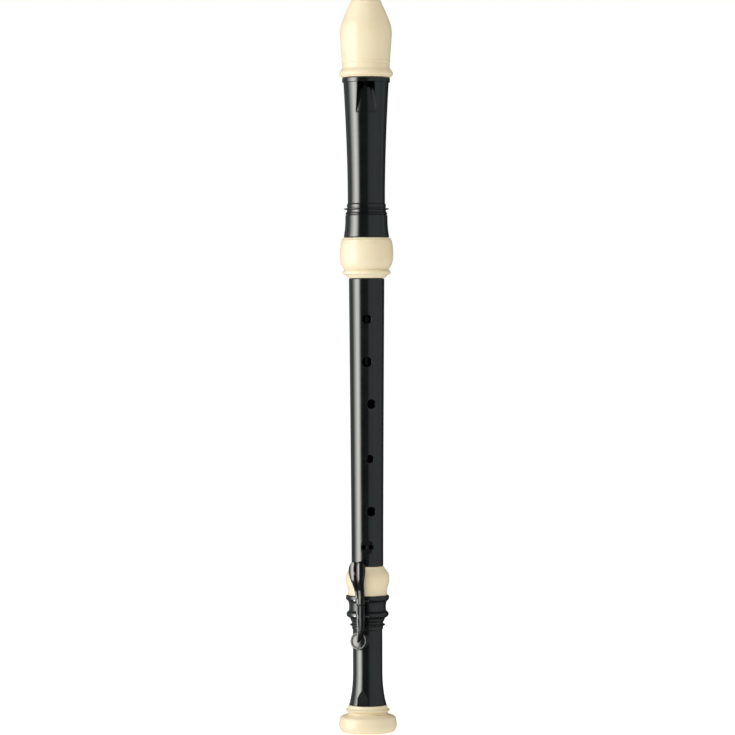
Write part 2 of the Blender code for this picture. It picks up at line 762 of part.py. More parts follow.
def make_middle_tube():
    """Black middle: upper tenon, tapered body with the finger holes, lower tenon."""
    top = Z_MIDDLE - SEAM
    bottom = Z_FOOT + SEAM
    tenon_top = Z_MIDDLE + HEAD_TENON_LEN
    tenon_end = Z_FOOT - FOOT_TENON_LEN
    waist = Z_FOOT + MIDDLE_WAIST_UP
    chamfer = 0.0005
    outline = [(HEAD_TENON_R - chamfer, tenon_top), (HEAD_TENON_R, tenon_top - chamfer)]
    outline += [(HEAD_TENON_R, top), (MIDDLE_TOP_R - EDGE, top)]
    outline += taper((MIDDLE_TOP_R, top - EDGE), (MIDDLE_WAIST_R, waist), MIDDLE_CURVE, 4)
    outline += [(MIDDLE_WAIST_R, bottom), (FOOT_TENON_R, bottom)]
    outline += [(FOOT_TENON_R, tenon_end + chamfer), (FOOT_TENON_R - chamfer, tenon_end)]
    outline += [(MIDDLE_BORE_END_R, tenon_end), (MIDDLE_BORE_TOP_R, tenon_top)]
    tube = turned("middle_tube", outline, Z_FOOT, middle, parts)
    start = DRILL_START
    end = MIDDLE_TOP_R + PAST
    for number, height, radius, azimuth in FINGER_HOLES:
        tool = drill(f"hole_{number}", radius, azimuth, height, start, end, middle, Z_FOOT)
        boolean(tube, tool)
    dish_floor = MIDDLE_WAIST_R - DISH_DEPTH
    boolean(tube, drill("dish", DISH_R, 0.0, DOUBLE_HOLE_Z, dish_floor, end, middle, Z_FOOT))
    for side in (-1, 1):
        shift = side * DOUBLE_HOLE_APART / 2
        name = f"hole_6_{side}"
        tool = drill(name, DOUBLE_HOLE_R, 0.0, DOUBLE_HOLE_Z, start, end, middle, Z_FOOT, shift)
        boolean(tube, tool)
    boolean(tube, drill("thumb_hole", THUMB_HOLE_R, 180.0, THUMB_HOLE_Z, start, end, middle, Z_FOOT))
    finish(tube, BLACK, 0.22)
    return tube


def make_foot_tube():
    """Black foot: socket sleeve, key rings with the lever slot, neck, flare and bell spigot."""
    sleeve_top = Z_FOOT - RING_LIP - GAP
    ring_top = Z_FOOT_BODY - SEAM
    end = Z_BELL + SEAM
    spigot_end = Z_BELL - BELL_SPIGOT_LEN
    socket_floor = Z_FOOT - FOOT_TENON_LEN - SOCKET_END_ROOM
    rings = [(FOOT_SLEEVE_R + out, Z_FOOT_BODY - down) for down, out in FOOT_RINGS]
    bead_z = Z_FOOT_BODY - FOOT_BEAD_DOWN
    small_z = Z_FOOT_BODY - SMALL_BEAD_DOWN
    outline = [(FOOT_SLEEVE_R, sleeve_top), (FOOT_SLEEVE_R, ring_top)] + rings
    outline += [(FOOT_COVE_R, Z_FOOT_BODY - FOOT_COVE_DOWN)]
    outline += bead(bead_z, FOOT_NECK_R, FOOT_BEAD_R, FOOT_BEAD_H)
    outline += bead(small_z, FOOT_NECK_R, SMALL_BEAD_R, SMALL_BEAD_H)[1:]
    flare_top = (FOOT_NECK_R, end + FOOT_FLARE_LEN)
    outline += flared(flare_top, (FOOT_END_R, end), FLARE_CURVE, 6)
    outline += [(BELL_SPIGOT_R, end), (BELL_SPIGOT_R, spigot_end), (FOOT_BORE_END_R, spigot_end)]
    outline += [(FOOT_BORE_TOP_R, socket_floor), (FOOT_SOCKET_R, socket_floor)]
    outline += [(FOOT_SOCKET_R, sleeve_top)]
    tube = turned("foot_tube", outline, 0.0, foot, parts)
    slot_half = TOUCH_SECTIONS[1][1] + SLOT_SIDE_ROOM
    low = (-slot_half, -AXLE_HOLE_LEN, Z_FOOT_BODY - SLOT_LEN)
    high = (slot_half, -SLOT_FLOOR, Z_FOOT_BODY + PAST)
    boolean(tube, as_cutter(box("lever_slot", low, high, key_frame, cutters)))
    radius = AXLE_R + PIN_FIT
    for name, out, height in axle_places():
        place = (0.0, -out, height)
        hole = cylinder(name + "_hole", radius, AXLE_HOLE_LEN, key_frame, place, (1, 0, 0), cutters)
        boolean(tube, as_cutter(hole))
    seat_z = Z_PAD_AXLE - CUP_DROP
    turn = -SEAT_AZIMUTH
    seat = drill("pad_seat", SEAT_R, turn, seat_z, SEAT_START, SEAT_TOP, foot, 0.0)
    boolean(tube, seat, "UNION")
    end = SEAT_TOP + PAST
    boolean(tube, drill("hole_7", TONE_HOLE_R, turn, seat_z, DRILL_START, end, foot, 0.0))
    finish(tube, BLACK, 0.22)
    return tube


def flared(top, bottom, power, count):
    """Points from (radius, height) top to bottom, opening out by a power of the way down."""
    points = []
    for i in range(count + 1):
        down = i / count
        radius = top[0] + (bottom[0] - top[0]) * down**power
        points.append((radius, top[1] + (bottom[1] - top[1]) * down))
    return points


def make_foot_bell():
    """Ivory bell: bead, cove, broad rounded rim and a flat underside to stand on."""
    low = Z_BELL - BELL_SPIGOT_LEN - GAP
    inner = BELL_SPIGOT_R + GAP
    outline = [(radius, Z_BELL - down) for down, radius in BELL_SHAPE]
    outline[0] = (outline[0][0], Z_BELL - SEAM)
    outline += [(BELL_BASE_R, 0.0), (BELL_MOUTH_R, 0.0), (FOOT_BORE_END_R, BELL_MOUTH_H)]
    outline += [(FOOT_BORE_END_R, low), (inner, low), (inner, Z_BELL - SEAM)]
    bell = turned("foot_bell", outline, 0.0, foot, parts)
    finish(bell, IVORY, 0.30)
    return bell


def axle_places():
    """Name, distance out of the bore's axis and height of each steel pin."""
    return (
        ("touch_axle", TOUCH_AXLE_OUT, Z_TOUCH_AXLE),
        ("pad_axle", PAD_AXLE_OUT, Z_PAD_AXLE),
    )


def make_axles():
    """Steel pins pressed across the slot through the two rings."""
    for name, out, height in axle_places():
        pin = cylinder(name, AXLE_R, AXLE_LEN, key_frame, (0.0, -out, height), (1, 0, 0), parts, 20)
        finish(pin, STEEL, 0.30, 1.0)


def add_barrel(lever, hinge, width):
    """Join a barrel to a lever round its axle, and bore it for the pin."""
    barrel = cylinder(lever.name + "_barrel", BARREL_R, width, hinge, (0, 0, 0), (1, 0, 0), cutters)
    boolean(lever, as_cutter(barrel), "UNION")
    name = lever.name + "_bore"
    radius = AXLE_R + PIN_FIT
    bore = cylinder(name, radius, width + 2 * PAST, hinge, (0, 0, 0), (1, 0, 0), cutters, 20)
    boolean(lever, as_cutter(bore))


def make_touch_lever():
    """Upper lever: tail, barrel, shank and teardrop touch."""
    first = TOUCH_SECTIONS[0]
    tail_out = first[2] + TAIL_THICK
    rings = [
        section_ring(first[0] - TAIL_LEN, 0.0, TAIL_HALF_W, first[2], tail_out),
        section_ring(first[0] - 0.00005, 0.0, TAIL_HALF_W, first[2], tail_out),
    ]
    for height, half_width, inner, outer in TOUCH_SECTIONS:
        rings.append(section_ring(height, 0.0, half_width, inner, outer))
    lever = lofted("touch_lever", rings, touch_hinge, parts)
    add_barrel(lever, touch_hinge, 2 * TOUCH_SECTIONS[1][1])
    finish(lever, BLACK, 0.20)
    return lever


def make_tail_corks():
    """Cork on the tail, under the pad lever's head, and cork in the slot under the tail."""
    height, half_width, inner, outer = TOUCH_SECTIONS[0]
    end = height - TAIL_LEN
    low = inner + TAIL_THICK + GAP
    side = TAIL_HALF_W - 2 * EDGE
    lower = (-side, -(low + TAIL_CORK_THICK), end + EDGE)
    upper = (side, -low, height - GAP)
    cork = box("lever_cork", lower, upper, touch_hinge, parts)
    finish(cork, CORK, 0.85)
    floor = SLOT_FLOOR + GAP
    lower = (-side, -(floor + REST_CORK_THICK), Z_TOUCH_AXLE + end + EDGE)
    upper = (side, -floor, Z_TOUCH_AXLE + height + REST_CORK_PAST)
    rest = box("rest_cork", lower, upper, key_frame, parts)
    finish(rest, CORK, 0.85)


def cup_frame():
    """The cup's frame: closed, it lies square on the seat, and at rest it is turned open."""
    opened = empty("cup_open", pad_hinge, (0.0, 0.0, 0.0), turn_x=math.radians(-PAD_OPEN_ANGLE))
    turn = math.radians(KEY_AZIMUTH - SEAT_AZIMUTH)
    frame = empty("cup_frame", opened, (0.0, PAD_AXLE_OUT, -CUP_DROP), turn_z=turn)
    return empty("cup_axis", frame, (0.0, 0.0, 0.0), turn_x=math.radians(90))


def make_pad_lever(cup_axis):
    """Lower lever: head, barrel and tapering arm, with the pad cup at its end."""
    rings = [section_ring(z, x, half, inner, outer) for z, x, half, inner, outer in PAD_LEVER_SECTIONS]
    lever = lofted("pad_lever", rings, pad_hinge, parts)
    add_barrel(lever, pad_hinge, 2 * PAD_LEVER_SECTIONS[1][2])
    roof = SEAT_TOP + PAD_SEAL + PAD_THICK + GAP
    top = roof + CUP_ROOF
    rim = top - CUP_ROOF - CUP_DEPTH
    inner = CUP_R - CUP_WALL
    outline = [(0.0, top)] + [(CUP_R - less, top - down) for less, down in CUP_SHOULDER]
    outline += [(CUP_R, rim), (inner, rim), (inner, roof), (0.0, roof)]
    cup = turned("pad_cup", outline, 0.0, cup_axis, cutters, closed=False, steps=FINE_STEPS)
    boolean(lever, as_cutter(cup), "UNION")
    finish(lever, BLACK, 0.20)
    return lever


def make_key_pad(cup_axis):
    """The pad, a felt disc in skin, proud of the cup's rim."""
    low = SEAT_TOP + PAD_SEAL
    radius = CUP_R - CUP_WALL - GAP
    pad = cylinder(
        "key_pad", radius, PAD_THICK, cup_axis, (0, 0, low + PAD_THICK / 2), (0, 0, 1), parts
    )
    round_edges(pad, 0.0003)
    finish(pad, PAD_SKIN, 0.65)
    return pad


def make_leaf(name, path, hinge):
    """A flat spring: a strip SPRING_THICK thick along (height, distance out) points."""
    curve = bpy.data.curves.new(name, "CURVE")
    curve.dimensions = "2D"
    curve.fill_mode = "BOTH"
    curve.extrude = SPRING_W / 2
    spline = curve.splines.new("POLY")
    outline = list(path) + [(z, out - SPRING_THICK) for z, out in reversed(path)]
    spline.points.add(len(outline) - 1)
    spline.use_cyclic_u = True
    for point, (z, out) in zip(spline.points, outline):
        point.co = (-out, z, 0.0, 1.0)
    upright = Matrix(((0, 0, 1, 0), (1, 0, 0, 0), (0, 1, 0, 0), (0, 0, 0, 1)))
    leaf = solid_from_curve(name, curve, hinge, (0.0, 0.0, 0.0), turn=upright, collection=parts)
    finish(leaf, STEEL, 0.28, 1.0)
    return leaf


def make_rivet(name, height, out, hinge):
    """A rivet head under a flat spring."""
    location = (0.0, -(out - SPRING_THICK - GAP - RIVET_HEAD / 2), height)
    rivet = cylinder(name, RIVET_R, RIVET_HEAD, hinge, location, (0, 1, 0), parts, 16)
    finish(rivet, STEEL, 0.30, 1.0)
    return rivet


def make_springs():
    """The two flat springs and the rivets that fix them under the levers."""
    ring_out = FOOT_SLEEVE_R + GAP - TOUCH_AXLE_OUT
    free = ring_out + FOOT_RING_WALLS[6][1] + GAP + SPRING_THICK
    make_leaf("touch_spring", TOUCH_SPRING_BEND + ((TOUCH_SPRING_FREE, free),), touch_hinge)
    make_rivet("touch_spring_rivet", *TOUCH_RIVET, touch_hinge)
    rest = FOOT_NECK_R - PAD_AXLE_OUT + 2 * GAP + SPRING_THICK
    make_leaf("pad_spring", PAD_SPRING_BEND + ((PAD_SPRING_FREE, rest),), pad_hinge)
    make_rivet("pad_spring_rivet", *PAD_RIVET, pad_hinge)


make_head_tube()
make_beak()
make_block()
make_ring(
    "head_socket_ring",
    HEAD_RING_WALLS,
    HEAD_SLEEVE_R,
    HEAD_TENON_R,
    Z_HEAD_RING,
    Z_MIDDLE,
    False,
    Z_MIDDLE,
    head,
)
make_middle_tube()
make_foot_tube()
make_ring(
    "foot_socket_ring",
    FOOT_RING_WALLS,
    FOOT_SLEEVE_R,
    FOOT_TENON_R,
    Z_FOOT,
    Z_FOOT_BODY,
    True,
    0.0,
    foot,
)
make_foot_bell()
make_axles()
make_touch_lever()
make_tail_corks()
closed_cup_axis = cup_frame()
make_pad_lever(closed_cup_axis)
make_key_pad(closed_cup_axis)
make_springs()

for piece in parts.objects:
    if piece.type == "MESH":
        smooth(piece.data)
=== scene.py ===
"""Tenor recorder in polished black and ivory ABS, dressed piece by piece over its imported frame.

Heights run up the bore from the foot bell's underside, and the finger holes face -Y.
Lengths are written in millimetres and become metres where a mesh is made.
"""
import math

import bmesh
import bpy
import numpy as np
from mathutils import Matrix, Vector


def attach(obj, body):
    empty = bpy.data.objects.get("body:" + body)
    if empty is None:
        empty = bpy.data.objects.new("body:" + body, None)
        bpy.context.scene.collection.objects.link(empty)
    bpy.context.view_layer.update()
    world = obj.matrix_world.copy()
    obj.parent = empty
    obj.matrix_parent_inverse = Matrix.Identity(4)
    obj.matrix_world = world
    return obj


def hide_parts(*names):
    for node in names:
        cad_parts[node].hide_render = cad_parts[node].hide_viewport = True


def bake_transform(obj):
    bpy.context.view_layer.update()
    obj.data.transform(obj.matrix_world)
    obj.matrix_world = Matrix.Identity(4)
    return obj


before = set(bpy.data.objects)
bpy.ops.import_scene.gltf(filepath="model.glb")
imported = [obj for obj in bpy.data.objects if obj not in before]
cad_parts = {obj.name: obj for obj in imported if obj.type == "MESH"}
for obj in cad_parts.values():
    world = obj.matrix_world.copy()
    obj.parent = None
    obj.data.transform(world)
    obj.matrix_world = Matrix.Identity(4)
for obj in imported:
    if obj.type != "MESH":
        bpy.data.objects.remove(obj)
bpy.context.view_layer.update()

# ---------------------------------------------------------------- Foot bell
# The bottom cap, moulded in ivory ABS with a satin polish and pushed onto a
# spigot below the black foot. The recorder stands on its flat underside.
MM = 0.001
SHARP_ANGLE = math.radians(32.0)


def cubic_through(rows, along, at):
    """Rows that stand at distances along a line, read at other distances.

    Between two rows it is a cubic, whose slope at each row is the slope between its
    neighbours.
    """
    slope = np.gradient(rows, along, axis=0)
    i = np.clip(np.searchsorted(along, at, "right") - 1, 0, len(rows) - 2)
    span = (along[i + 1] - along[i])[:, None]
    s = (at - along[i])[:, None] / span
    start = (1 + 2 * s) * (1 - s) ** 2 * rows[i] + s * (1 - s) ** 2 * span * slope[i]
    end = s**2 * (3 - 2 * s) * rows[i + 1] - s**2 * (1 - s) * span * slope[i + 1]
    return start + end


def flowing(points, spacing=0.45):
    """A smooth run through (radius, height) points, by cubics in the distance along them."""
    points = np.array(points, float)
    steps = np.hypot(*np.diff(points, axis=0).T)
    along = np.concatenate(([0.0], np.cumsum(steps)))
    at = np.linspace(0.0, along[-1], int(along[-1] / spacing) + 3)
    return cubic_through(points, along, at)


def rounded(points):
    """A run of straight lines through (radius, height, rounding) corners.

    Each corner becomes a quadratic arc that starts and ends its rounding away from it,
    and long lines get points beside each arc and every 1.5 mm between.
    """
    points = np.array(points, float)
    path = [points[0, :2]]
    for before, corner, after in zip(points[:-2], points[1:-1], points[2:]):
        size = corner[2]
        if size == 0.0:
            path.append(corner[:2])
            continue
        back, on = before[:2] - corner[:2], after[:2] - corner[:2]
        first = corner[:2] + back * min(size / np.hypot(*back), 0.48)
        last = corner[:2] + on * min(size / np.hypot(*on), 0.48)
        t = np.linspace(0.0, 1.0, 6)[:, None]
        path.extend((1 - t) ** 2 * first + 2 * t * (1 - t) * corner[:2] + t**2 * last)
    path.append(points[-1, :2])
    filled = []
    for start, end in zip(path[:-1], path[1:]):
        length = math.hypot(*(end - start))
        near = min(0.15 / length, 0.3) if length > 0.6 else 0.0
        stops = np.linspace(near, 1 - near, int(length / 1.5) + 2) if near else ()
        filled.extend(start + (end - start) * part for part in (0.0, *stops))
    filled.append(path[-1])
    return np.array(filled)


def ring_of(radius, height, turn):
    """Points at a radius and height, turned in degrees from the front to the viewer's right."""
    turn = np.radians(turn)
    radius, height, turn = np.broadcast_arrays(radius, height, turn)
    return np.stack((radius * np.sin(turn), -radius * np.cos(turn), height), -1)


def spun(profile, sides=144):
    """A closed profile carried once round the bore's axis."""
    profile = np.concatenate((profile, profile[:1]))
    turn = np.linspace(0.0, 360.0, sides + 1)
    return ring_of(profile[:, :1], profile[:, 1:], turn[None, :])


def skin(name, sheets):
    """A closed mesh from grids of points in millimetres.

    Each cell of a grid is a face, unless the grid comes with a table that leaves it out.
    Points that grids share are merged, and the faces are turned outwards.
    """
    points, faces, start = [], [], 0
    for sheet in sheets:
        grid, kept = sheet if isinstance(sheet, tuple) else (sheet, None)
        rows, columns = grid.shape[:2]
        index = np.arange(rows * columns).reshape(rows, columns) + start
        cells = np.stack((index[:-1, :-1], index[1:, :-1], index[1:, 1:], index[:-1, 1:]), -1)
        faces.append(cells.reshape(-1, 4) if kept is None else cells[kept])
        points.append(grid.reshape(-1, 3))
        start += rows * columns
    mesh = bpy.data.meshes.new(name)
    mesh.from_pydata((np.concatenate(points) * MM).tolist(), [], np.concatenate(faces).tolist())
    merged = bmesh.new()
    merged.from_mesh(mesh)
    bmesh.ops.remove_doubles(merged, verts=merged.verts, dist=0.000003)
    bmesh.ops.recalc_face_normals(merged, faces=merged.faces)
    merged.to_mesh(mesh)
    merged.free()
    mesh.shade_smooth()
    mesh.set_sharp_from_angle(angle=SHARP_ANGLE)
    return mesh


def shown(name, mesh, finish, slot, body, *nodes):
    """Put a mesh in the scene with its finish, in place of its CAD nodes and riding on its body."""
    piece = bpy.data.objects.new(name, mesh)
    bpy.context.scene.collection.objects.link(piece)
    mesh.materials.clear()
    mesh.materials.append(finish)
    if body:
        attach(piece, body)
    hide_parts(*nodes)
    return piece


def node(tree, kind, **values):
    """A shader node with its settings and its unlinked inputs."""
    made = tree.nodes.new(kind)
    for key, value in values.items():
        if key in made.inputs:
            made.inputs[key].default_value = value
        else:
            setattr(made, key, value)
    return made


def blank(name):
    """A new material's tree, its Principled shader and its object coordinates."""
    material = bpy.data.materials.new(name)
    material.use_nodes = True
    tree = material.node_tree
    shader = tree.nodes["Principled BSDF"]
    place = tree.nodes.new("ShaderNodeTexCoord").outputs["Object"]
    return material, tree, shader, place


def between(tree, factor, low, high):
    """A colour or number that runs from low to high as a factor goes from 0.3 to 0.7."""
    ramp = tree.nodes.new("ShaderNodeValToRGB")
    ramp.color_ramp.elements[0].position = 0.3
    ramp.color_ramp.elements[1].position = 0.7
    for element, value in zip(ramp.color_ramp.elements, (low, high)):
        element.color = (*value, 1.0) if isinstance(value, tuple) else (value, value, value, 1.0)
    tree.links.new(factor, ramp.inputs["Fac"])
    return ramp.outputs["Color"]


def noise(tree, place, **values):
    """The factor of a noise pattern over the given coordinates."""
    pattern = node(tree, "ShaderNodeTexNoise", **values)
    tree.links.new(place, pattern.inputs["Vector"])
    return pattern.outputs["Fac"]


def bumped(tree, shader, height, strength, distance):
    """Give a shader the relief of a pattern's height."""
    bump = node(tree, "ShaderNodeBump", Strength=strength, Distance=distance)
    tree.links.new(height, bump.inputs["Height"])
    tree.links.new(bump.outputs["Normal"], shader.inputs["Normal"])


def all_over(shader, values):
    """Set what is the same all over a piece on its shader's own sockets."""
    for socket, value in values.items():
        shader.inputs[socket].default_value = value


def ivory_abs(name, shift=0.0):
    """Satin ivory ABS: a cream base with faint clouds, a fine moulded grain and soft handling."""
    material, tree, shader, place = blank(name)
    clouds = noise(tree, place, Scale=38.0, Detail=3.0)
    base = between(tree, clouds, (0.785, 0.667, 0.438), (0.815, 0.702, 0.478))
    tree.links.new(base, shader.inputs["Base Color"])
    handled = noise(tree, place, Scale=120.0 + shift, Detail=4.0)
    tree.links.new(between(tree, handled, 0.30, 0.40), shader.inputs["Roughness"])
    grain = noise(tree, place, Scale=2600.0, Detail=2.0)
    bumped(tree, shader, grain, 0.06, 0.00005)
    all_over(
        shader,
        {
            "Specular IOR Level": 0.42,
            "Subsurface Weight": 0.12,
            "Subsurface Radius": (1.0, 0.72, 0.45),
            "Subsurface Scale": 0.0015,
        },
    )
    return material


bell_outside = np.concatenate(
    (
        rounded([
            (11.5, 23.85, 0), (17.0, 23.85, 0.35), (17.35, 22.8, 0.2), (17.5, 21.7, 0.25),
            (17.55, 21.4, 0),
        ]),
        flowing([(17.7, 21.2), (18.2, 20.85), (18.95, 20.4), (19.5, 19.95), (19.7, 19.6)]),
        flowing([
            (19.65, 19.3), (19.2, 18.9), (18.5, 18.3), (18.05, 17.7), (17.8, 16.9), (17.75, 16.3),
        ]),
        flowing([(17.95, 15.9), (18.9, 15.5), (20.6, 15.1), (22.5, 14.5), (24.0, 13.7)]),
        flowing([
            (24.75, 12.8), (25.05, 11.5), (25.2, 9.8), (25.5, 8.0), (25.68, 6.3), (25.6, 5.2),
            (25.3, 4.3),
        ]),
        flowing([(24.9, 3.3), (24.2, 1.9), (23.3, 0.85), (22.0, 0.25), (20.4, 0.0)]),
    )
)
bell_inside = rounded(
    [
        (20.2, 0, 0), (10.5, 0, 0.8), (8.2, 6.0, 0.8), (8.2, 7.7, 0.1), (11.5, 7.7, 0.1),
        (11.5, 23.8, 0),
    ]
)
shown(
    "foot_bell_moulding",
    skin("foot_bell_moulding", [spun(np.concatenate((bell_outside, bell_inside)))]),
    ivory_abs("ivory_bell"),
    "ivory_abs",
    "foot",
    "foot_bell",
)

# ---------------------------------------------------------------- Foot tube
# The black ABS foot: a socket sleeve, two bold rings slotted for the key, a fine bead,
# a straight neck with the raised seat of the lowest hole, and the flare to the bell.
KEY_TURN = -19.0
SEAT_TURN = -26.0
SLOT_HALF = 4.7
SLOT_FLOOR = 14.0
HOLE_RIM = 0.35


def mapped(tree, place, **values):
    """Coordinates moved or stretched by a Mapping node's settings."""
    mapping = node(tree, "ShaderNodeMapping", **values)
    tree.links.new(place, mapping.inputs["Vector"])
    return mapping.outputs["Vector"]


def black_abs(name, rough=(0.10, 0.19), shift=0.0):
    """Polished black ABS: near black, a hard gloss with faint handling marks and scratches."""
    material, tree, shader, place = blank(name)
    moved = mapped(tree, place, Location=(shift, shift, 0.0))
    marks = noise(tree, moved, Scale=55.0, Detail=5.0, Roughness=0.6)
    base = between(tree, marks, (0.0028, 0.0030, 0.0030), (0.0052, 0.0055, 0.0055))
    tree.links.new(base, shader.inputs["Base Color"])
    tree.links.new(between(tree, marks, *rough), shader.inputs["Roughness"])
    stretched = mapped(tree, place, Scale=(900.0, 900.0, 28.0))
    scratches = noise(tree, stretched, Scale=1.0, Detail=2.0)
    bumped(tree, shader, scratches, 0.05, 0.00002)
    all_over(shader, {"Specular IOR Level": 0.62, "Coat Weight": 0.55, "Coat Roughness": 0.06})
    return material


def placed(across, out, height, turn):
    """Points given across a radial direction, out along it and up, in the recorder's frame."""
    turn = math.radians(turn)
    side = np.array((math.cos(turn), math.sin(turn), 0.0))
    away = np.array((math.sin(turn), -math.cos(turn), 0.0))
    across, out, height = np.broadcast_arrays(across, out, height)
    up = np.array((0.0, 0.0, 1.0))
    return across[..., None] * side + out[..., None] * away + height[..., None] * up


def loop_round(grid, rows, columns):
    """The closed line of grid points round a block of rows and columns, back to its start."""
    (top, bottom), (left, right) = rows, columns
    return np.concatenate(
        (
            grid[top, left : right + 1],
            grid[top + 1 : bottom + 1, right],
            grid[bottom, left:right][::-1],
            grid[top:bottom, left][::-1],
        )
    )


def level_loop(grid, rows, columns, upward):
    """A block's edge that starts at its upper left corner, for rows that run down or up."""
    if upward:
        last = len(grid) - 1
        return loop_round(grid[::-1], (last - rows[1], last - rows[0]), columns)
    return loop_round(grid, rows, columns)


def flat_of(loop, height, turn):
    """A loop's points as distances across and up from a hole's middle."""
    turn = math.radians(turn)
    across = loop[:, 0] * math.cos(turn) + loop[:, 1] * math.sin(turn)
    return np.stack((across, loop[:, 2] - height), -1)


def circle_for(flat, radius, middle=0.0):
    """The points of a circle that face a loop's points from the circle's middle."""
    angle = np.arctan2(flat[:, 1], flat[:, 0] - middle)
    return np.stack((middle + radius * np.cos(angle), radius * np.sin(angle)), -1)


def steps_between(first, last, count):
    """Rows that go from one line of points to another in count steps."""
    share = np.linspace(0.0, 1.0, count + 1)
    return first + (last - first) * share.reshape(-1, *([1] * first.ndim))


def on_wall(flat, height, turn, radius_at, sunk=0.0):
    """Flat points lifted along the hole's axis onto a round wall, less what they are sunk."""
    up = flat[..., 1] + height
    out = np.sqrt(radius_at(up) ** 2 - flat[..., 0] ** 2) - sunk
    return placed(flat[..., 0], out, up, turn)


def drilled(outer_loop, inner_loop, height, turn, radius, outside, bore):
    """The skin of a round hole, between the blocks left open in the outside and the bore.

    Rings go evenly from the block's edge to the hole, over a rim rounded by a quarter
    circle, straight down the wall, and evenly out again on the bore.
    """
    outer, inner = flat_of(outer_loop, height, turn), flat_of(inner_loop, height, turn)
    wide, narrow = circle_for(outer, radius + HOLE_RIM), circle_for(outer, radius)
    rows = [on_wall(steps_between(outer, wide, 6), height, turn, outside)]
    bend = np.linspace(0.0, math.pi / 2, 6)[1:, None, None]
    ring = narrow + (wide - narrow) * (1 - np.sin(bend))
    rows.append(on_wall(ring, height, turn, outside, HOLE_RIM * (1 - np.cos(bend[..., 0]))))
    floor = on_wall(narrow, height, turn, bore)
    rows.append(steps_between(rows[-1][-1], floor, 5)[1:])
    rows.append(on_wall(steps_between(narrow, inner, 5), height, turn, bore)[1:])
    return np.concatenate(rows)


def left_open(grid, *blocks):
    """A table of a grid's cells that is false where a block of them is left open."""
    kept = np.ones((grid.shape[0] - 1, grid.shape[1] - 1), bool)
    for (top, bottom), (left, right) in blocks:
        kept[top:bottom, left:right] = False
    return kept


def with_levels(profile, levels):
    """A downward profile with a point added at each of the given heights."""
    levels = [z for z in levels if np.abs(profile[:, 1] - z).min() > 0.02]
    extra = np.stack((np.interp(levels, profile[::-1, 1], profile[::-1, 0]), levels), -1)
    joined = np.concatenate((profile, extra))
    return joined[np.argsort(-joined[:, 1], kind="stable")]


def row_at(profile, level):
    """The row of a profile that lies nearest to a height."""
    return int(np.abs(profile[:, 1] - level).argmin())


SEAT_Z = 82.0
SEAT_R = 6.4
SEAT_TOP = 13.5
TONE_HOLE_R = 4.2
seat_levels = SEAT_Z + np.linspace(8.2, -8.2, 27)
foot_outside = np.concatenate(
    (
        rounded([(18.1, 120.95, 0), (18.85, 120.95, 0.3), (19.08, 120.3, 0)]),
        flowing([(19.15, 119.8), (19.15, 119.0), (19.0, 118.0), (18.5, 117.1), (17.5, 116.3)]),
        flowing([
            (17.0, 115.6), (16.7, 114.7), (16.45, 113.4), (16.3, 111.8), (16.3, 109.9),
            (16.45, 108.5),
        ]),
        flowing([(16.75, 107.5), (17.3, 106.9), (18.0, 106.35)]),
        flowing([
            (18.4, 105.9), (18.6, 105.2), (18.6, 104.2), (18.5, 103.4), (18.1, 102.6),
            (17.1, 101.9),
        ]),
        flowing([
            (15.9, 101.3), (15.35, 100.6), (15.05, 99.6), (14.6, 98.6), (14.0, 97.6), (13.75, 96.9),
            (13.85, 96.2),
        ]),
        rounded([
            (14.0, 96.0, 0), (15.35, 95.55, 0.3), (15.6, 95.05, 0.25), (15.3, 94.5, 0.3),
            (14.0, 93.9, 0),
        ]),
        flowing([
            (13.85, 93.6), (13.7, 92.9), (13.75, 92.2), (13.65, 91.5), (13.3, 90.95), (13.1, 90.5),
        ]),
        rounded([(13.05, 90.3, 0), (13.05, 56.5, 0)]),
        flowing([
            (13.05, 56.0), (13.07, 51.0), (13.27, 45.5), (13.7, 40.0), (14.4, 34.3), (15.3, 29.2),
            (16.15, 25.6),
        ]),
        rounded([(16.27, 25.2, 0), (16.6, 24.15, 0.3), (16.2, 24.15, 0)]),
    )
)
foot_outside = with_levels(foot_outside, [*seat_levels, 121.0])
foot_below = rounded(
    [(16.0, 24.15, 0), (11.2, 24.15, 0.1), (11.2, 8.0, 0.4), (8.2, 8.0, 0.2), (8.21, 8.6, 0)]
)
foot_bore_line = np.stack((np.linspace(9.2, 8.21, 70), np.linspace(111.6, 8.8, 70)), -1)
foot_bore = with_levels(foot_bore_line, seat_levels)[::-1]
foot_socket = rounded(
    [
        (9.3, 111.9, 0), (12.22, 111.95, 0.1), (12.22, 144.8, 0.3), (14.22, 144.8, 0.3),
        (14.22, 121.2, 0),
    ]
)


LEFT_CELLS, WALL_CELLS, FLOOR_CELLS, RIGHT_CELLS = 18, 5, 16, 92


